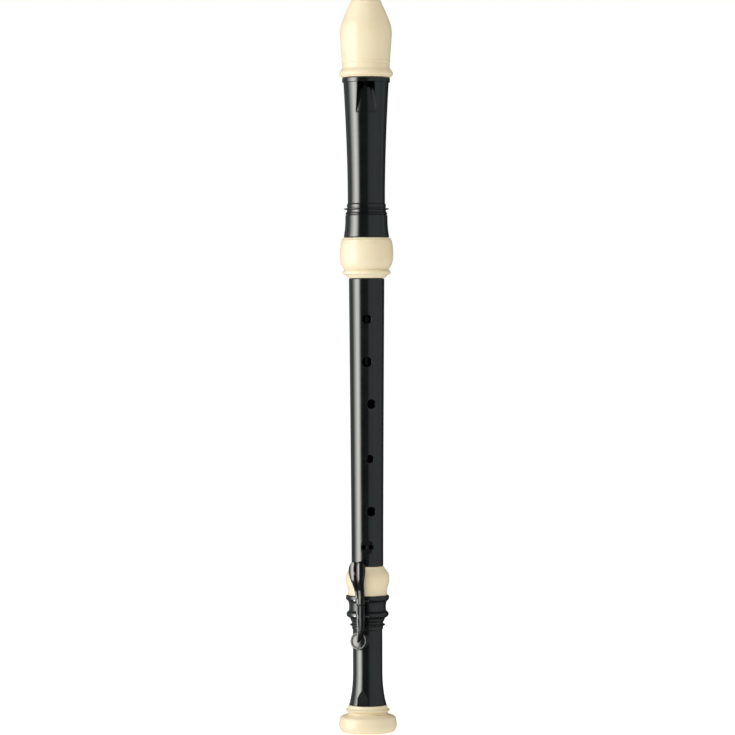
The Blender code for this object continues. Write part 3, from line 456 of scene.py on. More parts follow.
def slotted_foot_grid(profile):
    """The foot's outside: rows of a profile, with columns that step down into the key's slot.

    Columns run round from the left side to the slot's edge, down its wall, across its floor
    at a fixed distance from the bore's axis, up the other wall, and on round. Where the
    outside is nearer the axis than the floor, the walls have no height.
    """
    radius, height = profile[:, :1], profile[:, 1:]
    edge = np.degrees(np.arcsin(SLOT_HALF / radius))
    way = np.linspace(0.0, 1.0, LEFT_CELLS + 1)[None, :]
    start = ring_of(radius, height, -90.0 + (KEY_TURN - edge + 90.0) * way)
    across = np.linspace(-SLOT_HALF, SLOT_HALF, FLOOR_CELLS + 1)[None, :]
    skin_out = np.sqrt(radius**2 - across**2)
    floor = placed(across, np.minimum(skin_out, SLOT_FLOOR), height, KEY_TURN)
    share = np.linspace(0.0, 1.0, WALL_CELLS + 1)[None, :, None]
    left_wall = start[:, -1:] + (floor[:, :1] - start[:, -1:]) * share
    way = np.linspace(0.0, 1.0, RIGHT_CELLS + 1)[None, :]
    end = ring_of(radius, height, KEY_TURN + edge + (270.0 - KEY_TURN - edge) * way)
    right_wall = floor[:, -1:] + (end[:, :1] - floor[:, -1:]) * share
    return np.concatenate((start, left_wall, floor, right_wall, end), axis=1)


foot_front = slotted_foot_grid(foot_outside)
seat_row = row_at(foot_outside, SEAT_Z)
turn_seen = np.degrees(np.arctan2(foot_front[seat_row, :, 0], -foot_front[seat_row, :, 1]))
foot_turns = np.where(turn_seen < -90.001, turn_seen + 360.0, turn_seen)
foot_rest = np.concatenate((foot_below, foot_bore, foot_socket))
foot_back = ring_of(foot_rest[:, :1], foot_rest[:, 1:], foot_turns[None, :])
foot_grid = np.concatenate((foot_front, foot_back, foot_front[:1]))
# The seat's block starts 8 columns from the left side and ends 4 columns past the slot
seat_columns = (8, foot_front.shape[1] - (RIGHT_CELLS + 1) + 4)
seat_high, seat_low = seat_levels[0], seat_levels[-1]
outer_rows = (row_at(foot_outside, seat_high), row_at(foot_outside, seat_low))
bore_start = len(foot_outside) + len(foot_below)
inner_rows = tuple(bore_start + row_at(foot_bore, level) for level in (seat_low, seat_high))
foot_kept = left_open(foot_grid, (outer_rows, seat_columns), (inner_rows, seat_columns))


def foot_radius(height):
    """The foot's outer radius at a height, from its profile."""
    return np.interp(height, foot_outside[::-1, 1], foot_outside[::-1, 0])


def foot_bore_radius(height):
    """The foot's bore radius at a height."""
    return np.interp(height, foot_bore[:, 1], foot_bore[:, 0])


def raised_seat(outer_loop, inner_loop):
    """The lowest hole: a collar that rises from the neck to a flat seat, bored to the bore.

    Rings go from the block to the collar's foot, round a fillet and up the collar, over its
    rounded rim, in across the seat, over the hole's rim and down the wall to the bore.
    """
    outer, inner = flat_of(outer_loop, SEAT_Z, SEAT_TURN), flat_of(inner_loop, SEAT_Z, SEAT_TURN)
    base = circle_for(outer, SEAT_R + 0.5)
    rows = [on_wall(steps_between(outer, base, 5), SEAT_Z, SEAT_TURN, foot_radius)]
    root = rows[0][-1]
    wall = circle_for(outer, SEAT_R)
    wall_foot = on_wall(wall, SEAT_Z, SEAT_TURN, foot_radius, -0.35)
    t = np.linspace(0.0, 1.0, 6)[1:, None, None]
    corner = on_wall(wall, SEAT_Z, SEAT_TURN, foot_radius)
    rows.append((1 - t) ** 2 * root + 2 * t * (1 - t) * corner + t**2 * wall_foot)

    def level(radius, out):
        flat = circle_for(outer, radius)
        return placed(flat[:, 0], out, flat[:, 1] + SEAT_Z, SEAT_TURN)

    rows.append(steps_between(wall_foot, level(SEAT_R, SEAT_TOP - 0.12), 4)[1:])
    seat_radii = (SEAT_R - 0.12, TONE_HOLE_R + 0.7, TONE_HOLE_R + 0.2)
    rows.append(np.stack([level(radius, SEAT_TOP) for radius in seat_radii]))
    rows.append(level(TONE_HOLE_R, SEAT_TOP - 0.2)[None])
    narrow = circle_for(outer, TONE_HOLE_R)
    floor = on_wall(narrow, SEAT_Z, SEAT_TURN, foot_bore_radius)
    rows.append(steps_between(rows[-1][-1], floor, 5)[1:])
    rows.append(on_wall(steps_between(narrow, inner, 5), SEAT_Z, SEAT_TURN, foot_bore_radius)[1:])
    return np.concatenate(rows)


foot_seat = raised_seat(
    level_loop(foot_grid, outer_rows, seat_columns, False),
    level_loop(foot_grid, inner_rows, seat_columns, True),
)
shown(
    "foot_tube_moulding",
    skin("foot_tube_moulding", [(foot_grid, foot_kept), foot_seat]),
    black_abs("black_foot"),
    "black_abs",
    "foot",
    "foot_tube",
)

# ---------------------------------------------------------------- Foot ring
# The ivory ABS ring pressed over the foot's socket: a smooth swell that turns in over
# the socket's end at the top, with a short cove down to the black rings.
foot_ring_outside = np.concatenate(
    (
        rounded([(12.3, 145.2, 0), (12.3, 146.85, 0.3), (13.7, 146.85, 0.2), (14.15, 146.7, 0)]),
        flowing([
            (14.4, 146.4), (14.85, 145.6), (15.4, 144.8), (16.2, 143.9), (17.0, 142.9),
            (17.75, 141.9), (18.3, 141.0),
        ]),
        flowing([
            (18.75, 140.1), (19.15, 139.0), (19.38, 137.5), (19.42, 135.6), (19.35, 134.0),
            (19.2, 132.7), (18.92, 131.3),
        ]),
        flowing([
            (18.6, 130.1), (18.2, 129.0), (17.75, 127.7), (17.5, 126.4), (17.3, 125.0),
            (17.25, 123.8),
        ]),
        rounded([
            (17.35, 123.0, 0), (17.55, 122.3, 0.3), (17.45, 121.25, 0.3), (14.52, 121.25, 0.2),
            (14.52, 145.2, 0),
        ]),
    )
)
shown(
    "foot_ring_moulding",
    skin("foot_ring_moulding", [spun(foot_ring_outside)]),
    ivory_abs("ivory_foot_ring", 14.0),
    "ivory_abs",
    "foot",
    "foot_socket_ring",
)

# ---------------------------------------------------------------- Pins and slot cork
# Two ground steel pins pressed across the slot, on which the levers rock, and a strip of
# cork glued to the slot's floor that stops the upper lever's tail without a click.
TOUCH_OUT, TOUCH_Z = 17.0, 117.5
PAD_OUT, PAD_Z = 16.8, 103.6


def metal(name, colour, rough, blued=0.0):
    """Ground steel: a metal whose brightness and roughness follow fine lines along the piece."""
    material, tree, shader, place = blank(name)
    lines = mapped(tree, place, Scale=(300.0, 300.0, 5200.0))
    grain = noise(tree, lines, Scale=1.0, Detail=3.0)
    dark = tuple(value * (0.82 - blued) for value in colour)
    tree.links.new(between(tree, grain, dark, colour), shader.inputs["Base Color"])
    tree.links.new(between(tree, grain, rough, rough + 0.12), shader.inputs["Roughness"])
    shader.inputs["Metallic"].default_value = 1.0
    return material


def cork(name):
    """Cut cork: brown granules of several shades with dark pores between them."""
    material, tree, shader, place = blank(name)
    cells = node(tree, "ShaderNodeTexVoronoi", Scale=2400.0)
    tree.links.new(place, cells.inputs["Vector"])
    shade = between(tree, cells.outputs["Color"], (0.30, 0.18, 0.09), (0.55, 0.38, 0.22))
    tree.links.new(shade, shader.inputs["Base Color"])
    bumped(tree, shader, cells.outputs["Distance"], 0.4, 0.0001)
    shader.inputs["Roughness"].default_value = 0.85
    return material


PIN_ALONG = (-6.9, -6.9, -6.75, -6.4, -3.0, 0.0, 3.0, 6.4, 6.75, 6.9, 6.9)
PIN_RADII = (0.0, 0.6, 0.9, 1.0, 1.0, 1.0, 1.0, 1.0, 0.9, 0.6, 0.0)


def round_axle(out, height, along=PIN_ALONG, radii=PIN_RADII):
    """A surface turned about an axle across the slot, from its radius at distances along it.

    The pin's own radii give it slightly domed ends.
    """
    along, radii = (np.array(values)[:, None] for values in (along, radii))
    angle = np.linspace(0.0, math.tau, 33)[None, :]
    up = height + radii * np.sin(angle)
    return placed(along, out + radii * np.cos(angle), up, KEY_TURN)


def bar(rows, squareness, around=56):
    """Closed rings across a bar of (height, middle, half width, inner, outer) rows.

    A ring is an ellipse whose corners fill out as squareness falls below one, and each end
    is capped to its middle.
    """
    rows = np.array(rows, float)
    height, middle, half, inner, outer = (column[:, None] for column in rows.T)
    angle = np.linspace(0.0, math.tau, around + 1)[None, :]
    wide, thick = np.cos(angle), np.sin(angle)
    across = middle + half * np.sign(wide) * np.abs(wide) ** squareness
    out = (inner + outer) / 2 + (outer - inner) / 2 * np.sign(thick) * np.abs(thick) ** squareness
    grid = np.stack(np.broadcast_arrays(across, out, height), -1)
    caps = [np.repeat(grid[[i]].mean(1, keepdims=True), around + 1, 1) for i in (0, -1)]
    return np.concatenate((caps[0], grid, caps[1]))


def in_key(grid, out, height):
    """Points across, out of and above an axle, carried to the recorder's frame."""
    return placed(grid[..., 0], out + grid[..., 1], height + grid[..., 2], KEY_TURN)


ground_steel = metal("ground_steel", (0.60, 0.60, 0.61), 0.22)
touch_pin = skin("touch_pin", [round_axle(TOUCH_OUT, TOUCH_Z)])
shown("touch_pin", touch_pin, ground_steel, "steel", "foot", "touch_axle")
pad_pin = skin("pad_pin", [round_axle(PAD_OUT, PAD_Z)])
shown("pad_pin", pad_pin, ground_steel, "steel", "foot", "pad_axle")
slot_cork = bar(
    [
        (110.1, 0, 2.45, 14.4, 15.0),
        (110.25, 0, 2.6, 14.3, 15.1),
        (113.85, 0, 2.6, 14.3, 15.1),
        (114.0, 0, 2.45, 14.4, 15.0),
    ],
    0.2,
)
shown(
    "slot_cork",
    skin("slot_cork", [in_key(slot_cork, 0.0, 0.0)]),
    cork("slot_cork"),
    "cork",
    "foot",
    "rest_cork",
)

# ---------------------------------------------------------------- Touch lever
# The upper lever, moulded in black ABS: a two-lobed touch for the little finger with a
# furrow that runs down its shank, a barrel on the upper pin, and a flat tail with its cork.
BARREL_R, PIN_BORE_R = 2.2, 1.3
ROW_SPACING = 0.35
TOUCH_MIDDLE = -0.9


def lever_rows(sections):
    """Rows of a lever from the lowest section up, by cubics through the given sections.

    Near the axle the inner face is swept out to the barrel round the pin.
    """
    sections = np.array(sections, float)
    along = sections[:, 0]
    at = np.linspace(along[0], along[-1], int((along[-1] - along[0]) / ROW_SPACING) + 2)
    rows = cubic_through(sections, along, at)
    barrel = np.sqrt(np.clip(BARREL_R**2 - rows[:, 0] ** 2, 0.0, None))
    rows[:, 3] = np.where(barrel > 0, np.minimum(rows[:, 3], -barrel), rows[:, 3])
    return rows


def front_share(grid, depth):
    """How near its front a bar's points lie: 0 in the middle, 1 from a depth outwards."""
    return np.clip((grid[..., 1] - grid[..., 1].mean(1, keepdims=True)) / depth, 0.0, 1.0)


touch_rows = lever_rows(
    [
        (-2.9, 0, 3.95, -1.6, 4.0),
        (-2.0, 0, 4.1, -1.3, 4.1),
        (0.0, 0, 4.15, 0.2, 4.2),
        (3.5, 0, 4.25, 1.8, 4.6),
        (6.5, 0, 4.4, 2.6, 5.2),
        (10.0, -0.1, 4.6, 3.4, 6.1),
        (13.0, -0.3, 4.95, 4.6, 7.5),
        (15.7, -0.5, 5.5, 5.5, 8.8),
        (20.0, -0.8, 6.7, 6.3, 10.1),
        (24.0, -0.9, 7.5, 6.6, 10.5),
        (27.0, -0.9, 7.75, 6.7, 10.5),
        (29.8, -0.9, 7.5, 6.75, 10.4),
        (32.0, -0.9, 6.8, 6.85, 10.1),
        (33.6, -0.9, 5.7, 7.0, 9.75),
        (34.7, -0.9, 4.5, 7.2, 9.35),
        (35.4, -0.9, 3.1, 7.45, 9.0),
        (35.7, -0.9, 1.5, 7.8, 8.6),
    ]
)
low_end = touch_rows[0] + [[-0.15, 0, -0.2, 0.15, -0.25], [-0.05, 0, -0.06, 0.03, -0.07]]
touch_rows = np.concatenate((low_end, touch_rows))
touch_grid = bar(touch_rows, np.interp(touch_rows[:, :1], (8.0, 20.0), (0.66, 0.5)), 80)

# The furrow deepens and narrows on its way up between the two lobes, whose crowns fall
# away to each side, and the touch's top dips a little between them
up_touch = touch_grid[..., 2]
furrow_heights = (-3.0, 8.0, 15.0, 22.0, 31.0, 35.7)
furrow_depth = np.interp(up_touch, furrow_heights, (0.16, 0.2, 0.7, 1.2, 1.1, 0.6))
furrow_width = np.interp(up_touch, (-3.0, 10.0, 20.0, 35.7), (1.5, 1.4, 1.15, 1.1))
furrow_side = np.interp(up_touch, (8.0, 18.0), (-1.0, TOUCH_MIDDLE))
furrow = furrow_depth * np.exp(-(((touch_grid[..., 0] - furrow_side) / furrow_width) ** 2))
off = touch_grid[..., 0] - TOUCH_MIDDLE
lobes = np.where(off < 0.0, 0.030 * off**2, 0.035 * (off**2 - 5.6 * off))
crown = lobes * np.interp(up_touch, (10.0, 20.0), (0.2, 1.0))
dip = np.clip((up_touch - 31.6) / 3.6, 0.0, 1.0) * 1.6
touch_grid[..., 1] -= front_share(touch_grid, 1.2) * (furrow + crown)
touch_grid[..., 2] -= dip * np.exp(-((off / 1.5) ** 2))
tail_grid = bar(
    [
        (-7.6, 0, 2.8, -1.5, -0.7),
        (-7.45, 0, 3.0, -1.6, -0.6),
        (-3.1, 0, 3.0, -1.6, -0.6),
        (-2.5, 0, 3.0, -1.5, -0.7),
    ],
    0.3,
)


def worked(name, mesh, *steps):
    """A mesh after exact Boolean steps, each an operation with a closed mesh, baked in turn."""
    stock = bpy.data.objects.new(name + "_stock", mesh)
    bpy.context.scene.collection.objects.link(stock)
    tools = []
    for number, (operation, tool_mesh) in enumerate(steps):
        tool = bpy.data.objects.new(f"{name}_tool_{number}", tool_mesh)
        bpy.context.scene.collection.objects.link(tool)
        tools.append(tool)
        modifier = stock.modifiers.new(tool.name, "BOOLEAN")
        modifier.operation = operation
        modifier.solver = "EXACT"
        modifier.object = tool
    bpy.context.view_layer.update()
    finished = stock.evaluated_get(bpy.context.evaluated_depsgraph_get())
    made = bpy.data.meshes.new_from_object(finished)
    made.name = name
    for used in (*tools, stock):
        bpy.data.objects.remove(used, do_unlink=True)
    made.shade_smooth()
    made.set_sharp_from_angle(angle=SHARP_ANGLE)
    return made


def pin_bore(out, height):
    """The mesh that drills a lever for its pin."""
    radii = (0.0, PIN_BORE_R, PIN_BORE_R, 0.0)
    return skin("pin_bore", [round_axle(out, height, (-9.0, -9.0, 9.0, 9.0), radii)])


black_key = black_abs("black_key", (0.08, 0.16), 0.4)
shown(
    "touch_lever_moulding",
    worked(
        "touch_lever_moulding",
        skin("touch_lever_body", [in_key(touch_grid, TOUCH_OUT, TOUCH_Z)]),
        ("UNION", skin("touch_tail", [in_key(tail_grid, TOUCH_OUT, TOUCH_Z)])),
        ("DIFFERENCE", pin_bore(TOUCH_OUT, TOUCH_Z)),
    ),
    black_key,
    "black_key",
    "touch_key",
    "touch_lever",
)
tail_cork = bar(
    [
        (-7.4, 0, 2.45, -0.28, 0.25),
        (-7.25, 0, 2.6, -0.3, 0.3),
        (-4.45, 0, 2.6, -0.3, 0.3),
        (-4.3, 0, 2.45, -0.28, 0.25),
    ],
    0.2,
)
shown(
    "tail_cork",
    skin("tail_cork", [in_key(tail_cork, TOUCH_OUT, TOUCH_Z)]),
    cork("tail_cork"),
    "cork",
    "touch_key",
    "lever_cork",
)

# ---------------------------------------------------------------- Pad lever
# The lower lever, black ABS: a flat head over the upper lever's tail, a barrel on the
# lower pin, and a tapering arm that ends in a point on the round cup over the lowest hole.
PAD_OPEN = 6.0
CUP_SIDES = 96
pad_rows = lever_rows(
    [
        (-22.8, -2.3, 0.5, 3.3, 4.2),
        (-22.2, -2.1, 0.8, 3.0, 4.4),
        (-21.0, -1.8, 1.15, 2.9, 4.7),
        (-18.3, -1.2, 1.8, 2.6, 4.9),
        (-14.9, -0.6, 2.4, 2.2, 4.5),
        (-12.0, -0.2, 2.8, 1.3, 3.6),
        (-9.0, 0, 3.3, 0.6, 3.2),
        (-5.0, 0, 3.7, 0.6, 3.4),
        (0.0, 0, 4.0, 0.2, 3.8),
        (6.0, 0, 4.0, 0.9, 4.0),
        (9.7, 0, 3.9, 1.1, 4.0),
    ]
)
top_end = pad_rows[-1] + [[0.15, 0, -0.06, 0.03, -0.07], [0.3, 0, -0.2, 0.15, -0.25]]
pad_rows = np.concatenate((pad_rows, top_end))
pad_grid = bar(pad_rows, 0.62, 80)

# A shallow furrow follows the arm's bend down from the flat head, and fades out
up_arm = pad_grid[..., 2]
arm_depth = np.interp(up_arm, (-20.0, -13.0, 0.0, 10.3), (0.0, 0.1, 0.16, 0.16))
arm_side = np.interp(up_arm, (-22.8, -18.3, -14.9, -9.0), (-2.3, -1.5, -1.2, -1.0))
arm_valley = np.exp(-(((pad_grid[..., 0] - arm_side) / 1.4) ** 2))
pad_grid[..., 1] -= front_share(pad_grid, 1.0) * arm_depth * arm_valley

opened = (
    Matrix.Rotation(math.radians(KEY_TURN), 4, "Z")
    @ Matrix.Translation((0.0, -PAD_OUT, PAD_Z))
    @ Matrix.Rotation(math.radians(-PAD_OPEN), 4, "X")
    @ Matrix.Translation((0.0, PAD_OUT, SEAT_Z - PAD_Z))
    @ Matrix.Rotation(math.radians(SEAT_TURN - KEY_TURN), 4, "Z")
    @ Matrix.Rotation(math.radians(90.0), 4, "X")
)


def on_cup(profile):
    """A profile of (radius, distance from the bore's axis) turned round the open cup's axis."""
    grid = spun(profile, CUP_SIDES)
    carry = np.array(opened)
    return grid @ carry[:3, :3].T + carry[:3, 3]


cup_profile = rounded(
    [
        (0.0, 17.55, 0),
        (2.6, 17.45, 1.2),
        (5.3, 17.0, 0.3),
        (5.55, 16.35, 0.15),
        (6.2, 16.25, 0.2),
        (6.7, 16.85, 0.3),
        (7.7, 16.75, 0.3),
        (8.3, 16.1, 0.4),
        (8.3, 14.45, 0.15),
        (7.6, 14.45, 0.15),
        (7.6, 15.95, 0.2),
        (0.0, 15.95, 0),
    ]
)
shown(
    "pad_lever_moulding",
    worked(
        "pad_lever_moulding",
        skin("pad_lever_body", [in_key(pad_grid, PAD_OUT, PAD_Z)]),
        ("UNION", skin("pad_cup", [on_cup(cup_profile)])),
        ("DIFFERENCE", pin_bore(PAD_OUT, PAD_Z)),
    ),
    black_key,
    "black_key",
    "pad_key",
    "pad_lever",
)

# ---------------------------------------------------------------- Key pad
# Felt wrapped in a tan skin and shellacked into the cup, with a faint ring where it has
# closed on the seat of the lowest hole.
pad_profile = np.concatenate(
    (
        rounded([(0.0, 15.65, 0), (7.0, 15.65, 0.2), (7.25, 15.4, 0.2), (7.3, 14.1, 0)]),
        flowing([
            (7.25, 14.0), (7.0, 13.75), (6.5, 13.66), (6.0, 13.66), (5.3, 13.78), (4.6, 13.7),
            (3.0, 13.66), (0.0, 13.66),
        ]),
    )
)


def pad_skin(name):
    """Tan skin drawn over felt: mottled, matt, with fine creases."""
    material, tree, shader, place = blank(name)
    creases = noise(tree, place, Scale=700.0, Detail=5.0)
    tan = between(tree, creases, (0.62, 0.47, 0.30), (0.78, 0.65, 0.47))
    tree.links.new(tan, shader.inputs["Base Color"])
    bumped(tree, shader, creases, 0.35, 0.0001)
    shader.inputs["Roughness"].default_value = 0.65
    return material


shown(
    "key_pad_disc",
    skin("key_pad_disc", [on_cup(pad_profile)]),
    pad_skin("pad_skin"),
    "pad_skin",
    "pad_key",
    "key_pad",
)

# ---------------------------------------------------------------- Springs
# Two blued flat springs riveted under the levers. The upper one bears on the ivory ring
# and holds its touch out, and the lower one bears on the foot's neck and holds the cup open.
LEAF_HALF_WIDE, LEAF_HALF_THICK = 1.7, 0.2


def leaf(points):
    """A thin strip, rounded at its edges, whose outer face runs through (height, out) points."""
    path = flowing([(out, height) for height, out in points], 0.3)
    run = np.gradient(path, axis=0)
    run /= np.hypot(run[:, :1], run[:, 1:])
    normal = np.stack((run[:, 1], -run[:, 0]), -1)
    normal *= np.sign(normal[:, :1])
    middle = path - normal * LEAF_HALF_THICK
    angle = np.linspace(0.0, math.tau, 33)[None, :]
    wide, thick = np.cos(angle), np.sin(angle)
    across = LEAF_HALF_WIDE * np.sign(wide) * np.abs(wide) ** 0.25
    through = LEAF_HALF_THICK * np.sign(thick) * np.abs(thick) ** 0.4
    out = middle[:, :1] + through * normal[:, :1]
    height = middle[:, 1:] + through * normal[:, 1:]
    grid = np.stack(np.broadcast_arrays(across, out, height), -1)
    caps = [np.repeat(grid[[i]].mean(1, keepdims=True), 33, 1) for i in (0, -1)]
    return np.concatenate((caps[0], grid, caps[1]))


def rivet(height, out):
    """A small domed rivet head with its inner face out from the axle by the given distance."""
    depth = np.array([0.0, 0.0, -0.12, -0.28, -0.37, -0.4])[:, None] + out
    radius = np.array([0.0, 0.6, 0.6, 0.5, 0.3, 0.0])[:, None]
    angle = np.linspace(0.0, math.tau, 25)[None, :]
    across, up = radius * np.cos(angle), height + radius * np.sin(angle)
    return np.stack(np.broadcast_arrays(across, depth, up), -1)


spring_steel = metal("blued_spring", (0.40, 0.43, 0.50), 0.20, 0.15)
touch_leaf = [(2.6, 1.0), (4.0, 1.5), (8.0, 2.3), (13.8, 2.62)]
pad_leaf = [(-3.2, 0.2), (-6.2, 0.2), (-9.5, -1.2), (-13.0, -2.8)]
touch_spring = shown(
    "touch_spring_leaf",
    skin("touch_spring_leaf", [in_key(leaf(touch_leaf), TOUCH_OUT, TOUCH_Z)]),
    spring_steel,
    "spring_steel",
    None,
    "touch_spring",
)
pad_spring = shown(
    "pad_spring_leaf",
    skin("pad_spring_leaf", [in_key(leaf(pad_leaf), PAD_OUT, PAD_Z)]),
    spring_steel,
    "spring_steel",
    None,
    "pad_spring",
)


def key_point(out, height):
    """A point in the middle of the key's plane, in metres."""
    return tuple(placed(0.0, out, height, KEY_TURN) * MM)


key_point(TOUCH_OUT + 1.0, TOUCH_Z + 2.6)
key_point(TOUCH_OUT + 2.62, TOUCH_Z + 13.8)
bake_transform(touch_spring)
key_point(PAD_OUT + 0.2, PAD_Z - 3.2)
key_point(PAD_OUT - 2.8, PAD_Z - 13.0)
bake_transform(pad_spring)
shown(
    "touch_rivet",
    skin("touch_rivet", [in_key(rivet(3.0, 0.44), TOUCH_OUT, TOUCH_Z)]),
    ground_steel,
    "steel",
    "touch_key",
    "touch_spring_rivet",
)
shown(
    "pad_rivet",
    skin("pad_rivet", [in_key(rivet(-4.5, -0.5), PAD_OUT, PAD_Z)]),
    ground_steel,
    "steel",
    "pad_key",
    "pad_spring_rivet",
)

# ---------------------------------------------------------------- Middle tube
# The black ABS middle section with a tenon at each end: five round finger holes drilled
# through and rounded at the rim, a pair of small ones in a dish, and a thumb hole behind.
# Each round hole is (height, radius, turn), with the thumb hole first.
ROUND_HOLES = (
    (377.0, 4.1, 180.0),
    (365.2, 4.0, 0.0),
    (327.6, 4.3, 0.0),
    (290.5, 4.0, 15.0),
    (242.2, 3.5, 9.0),
    (195.8, 4.1, 14.5),
)
DOUBLE_Z, DOUBLE_R, DOUBLE_RIM, DOUBLE_SIDE = 164.2, 2.1, 0.25, 3.05
DISH_R, DISH_OUT = 5.8, 12.75
BLOCK_ROWS = np.linspace(6.6, -6.6, 23)
COLUMN_TURN = 3.0
TAPER_TOP, TAPER_END, TAPER_END_R = 399.7, 160.0, 14.05
HOLED_TOP, HOLED_END = 400.0, 150.0


def middle_bore_radius(height):
    """The middle tube's bore radius at a height, between its two ends."""
    return 9.3 + 2.6 * (height - 112.6) / 323.9


def clear_of(heights, levels):
    """A table of the heights that keep 0.35 mm clear of all the levels."""
    return np.abs(heights[:, None] - levels[None, :]).min(1) > 0.35


taper = np.linspace(1.0, 0.0, 40)
taper_z = TAPER_END + (TAPER_TOP - TAPER_END) * taper
middle_taper = np.stack((TAPER_END_R + 1.6 * taper**1.2, taper_z), -1)
middle_drawn = np.concatenate(
    (
        rounded([(14.35, 401.15, 0), (15.25, 401.15, 0), (15.65, 400.4, 0.1), (15.65, 400.0, 0)]),
        middle_taper,
        rounded([
            (TAPER_END_R, 158.5, 0), (TAPER_END_R, 147.85, 0.1), (13.65, 147.15, 0),
            (12.0, 147.15, 0.2), (12.0, 112.6, 0.3), (9.3, 112.6, 0),
        ]),
    )
)

# Rows stand at every level that a hole's block needs, outside and in the bore
hole_heights = (*(hole[0] for hole in ROUND_HOLES), DOUBLE_Z)
levels = np.unique(np.round(np.concatenate([z + BLOCK_ROWS for z in hole_heights]), 3))[::-1]
drawn_z = middle_drawn[:, 1]
kept = clear_of(drawn_z, levels) | (drawn_z > HOLED_TOP) | (drawn_z < HOLED_END)
middle_base = middle_drawn[kept]
holed_end = int((middle_base[:, 1] > HOLED_END).sum())
added = np.stack((np.interp(levels, middle_base[::-1, 1], middle_base[::-1, 0]), levels), -1)
joined = np.concatenate((middle_base[:holed_end], added))
middle_holed = joined[np.argsort(-joined[:, 1], kind="stable")]
middle_outside = np.concatenate((middle_holed, middle_base[holed_end:]))
between_z = np.linspace(113.0, 436.2, 60)
bore_z = np.sort(np.concatenate((levels, between_z[clear_of(between_z, levels)])))
middle_bore = np.stack((middle_bore_radius(bore_z), bore_z), -1)
upper_tenon = rounded([(11.9, 436.5, 0), (14.1, 436.5, 0.5), (14.1, 401.3, 0)])
middle_profile = np.concatenate((middle_outside, middle_bore, upper_tenon, middle_outside[:1]))
middle_turns = np.linspace(-270.0, 90.0, int(360.0 / COLUMN_TURN) + 1)
middle_grid = ring_of(middle_profile[:, :1], middle_profile[:, 1:], middle_turns[None, :])


def middle_radius(height):
    """The middle tube's outer radius at a height."""
    return np.interp(height, middle_holed[::-1, 1], middle_holed[::-1, 0])


def hole_block(height, turn, side):
    """Rows and columns of the outside and of the bore that are left open round a hole."""
    turn = turn if turn <= 90.0 else turn - 360.0
    centre = int(round((turn + 270.0) / COLUMN_TURN))
    high, low = height + BLOCK_ROWS[0], height + BLOCK_ROWS[-1]
    outer = (row_at(middle_outside, high), row_at(middle_outside, low))
    inner = tuple(len(middle_outside) + row_at(middle_bore, level) for level in (low, high))
    return outer, inner, (centre - side, centre + side)


middle_sheets, middle_blocks = [], []
for height, radius, turn in ROUND_HOLES:
    outer, inner, columns = hole_block(height, turn, 11)
    middle_blocks += [(outer, columns), (inner, columns)]
    middle_sheets.append(
        drilled(
            level_loop(middle_grid, outer, columns, False),
            level_loop(middle_grid, inner, columns, True),
            height,
            turn,
            radius,
            middle_radius,
            middle_bore_radius,
        )
    )


def double_hole(outer_loop, inner_loop, across, down):
    """Two small holes side by side in a shallow dish, drilled through to the bore.

    The dish's wall eases from the tube's skin to a flat floor. The floor is shared between
    the holes along the middle line, and so is the open block of the bore.
    """
    outer, inner = flat_of(outer_loop, DOUBLE_Z, 0.0), flat_of(inner_loop, DOUBLE_Z, 0.0)
    edge = circle_for(outer, DISH_R + 0.3)
    sheets = [on_wall(steps_between(outer, edge, 5), DOUBLE_Z, 0.0, middle_radius)]
    way = np.linspace(0.0, 1.0, 9)[1:, None]
    ring = np.stack([circle_for(outer, DISH_R + 0.3 - 0.9 * part) for part in way[:, 0]])
    surface = on_wall(ring, DOUBLE_Z, 0.0, middle_radius)
    skin_out = -surface[..., 1]
    ease = way**2 * (3 - 2 * way)
    surface[..., 1] = -(skin_out * (1 - ease) + np.minimum(DISH_OUT, skin_out) * ease)
    sheets[0] = np.concatenate((sheets[0], surface))
    floor = circle_for(outer, DISH_R - 0.6)
    top, bottom = across // 2, across + down + across // 2
    count = len(floor) - 1
    chord = np.linspace(0.0, 1.0, down * 2)[1:-1, None]
    for side, first, last in ((1, top, bottom), (-1, bottom, top + count)):
        index = np.arange(first, last + 1) % count
        halves = []
        for loop in (floor, inner):
            arc = loop[index].copy()
            arc[[0, -1], 0] = 0.0
            line = arc[-1] + (arc[0] - arc[-1]) * chord
            halves.append(np.concatenate((arc, line, arc[:1])))
        dish, below = halves
        middle = side * DOUBLE_SIDE
        wide = circle_for(dish, DOUBLE_R + DOUBLE_RIM, middle)
        narrow = circle_for(dish, DOUBLE_R, middle)
        flat = steps_between(dish, wide, 4)
        wall_out = np.sqrt(middle_radius(DOUBLE_Z) ** 2 - flat[..., 0] ** 2)
        floor_out = np.minimum(DISH_OUT, wall_out)
        rows = [placed(flat[..., 0], floor_out, flat[..., 1] + DOUBLE_Z, 0.0)]
        bend = np.linspace(0.0, math.pi / 2, 5)[1:, None, None]
        ring = narrow + (wide - narrow) * (1 - np.sin(bend))
        rim_out = DISH_OUT - DOUBLE_RIM * (1 - np.cos(bend[..., 0]))
        rows.append(placed(ring[..., 0], rim_out, ring[..., 1] + DOUBLE_Z, 0.0))
        end = on_wall(narrow, DOUBLE_Z, 0.0, middle_bore_radius)
        rows.append(steps_between(rows[-1][-1], end, 4)[1:])
        rows.append(on_wall(steps_between(narrow, below, 4), DOUBLE_Z, 0.0, middle_bore_radius)[1:])
        sheets.append(np.concatenate(rows))
    return sheets


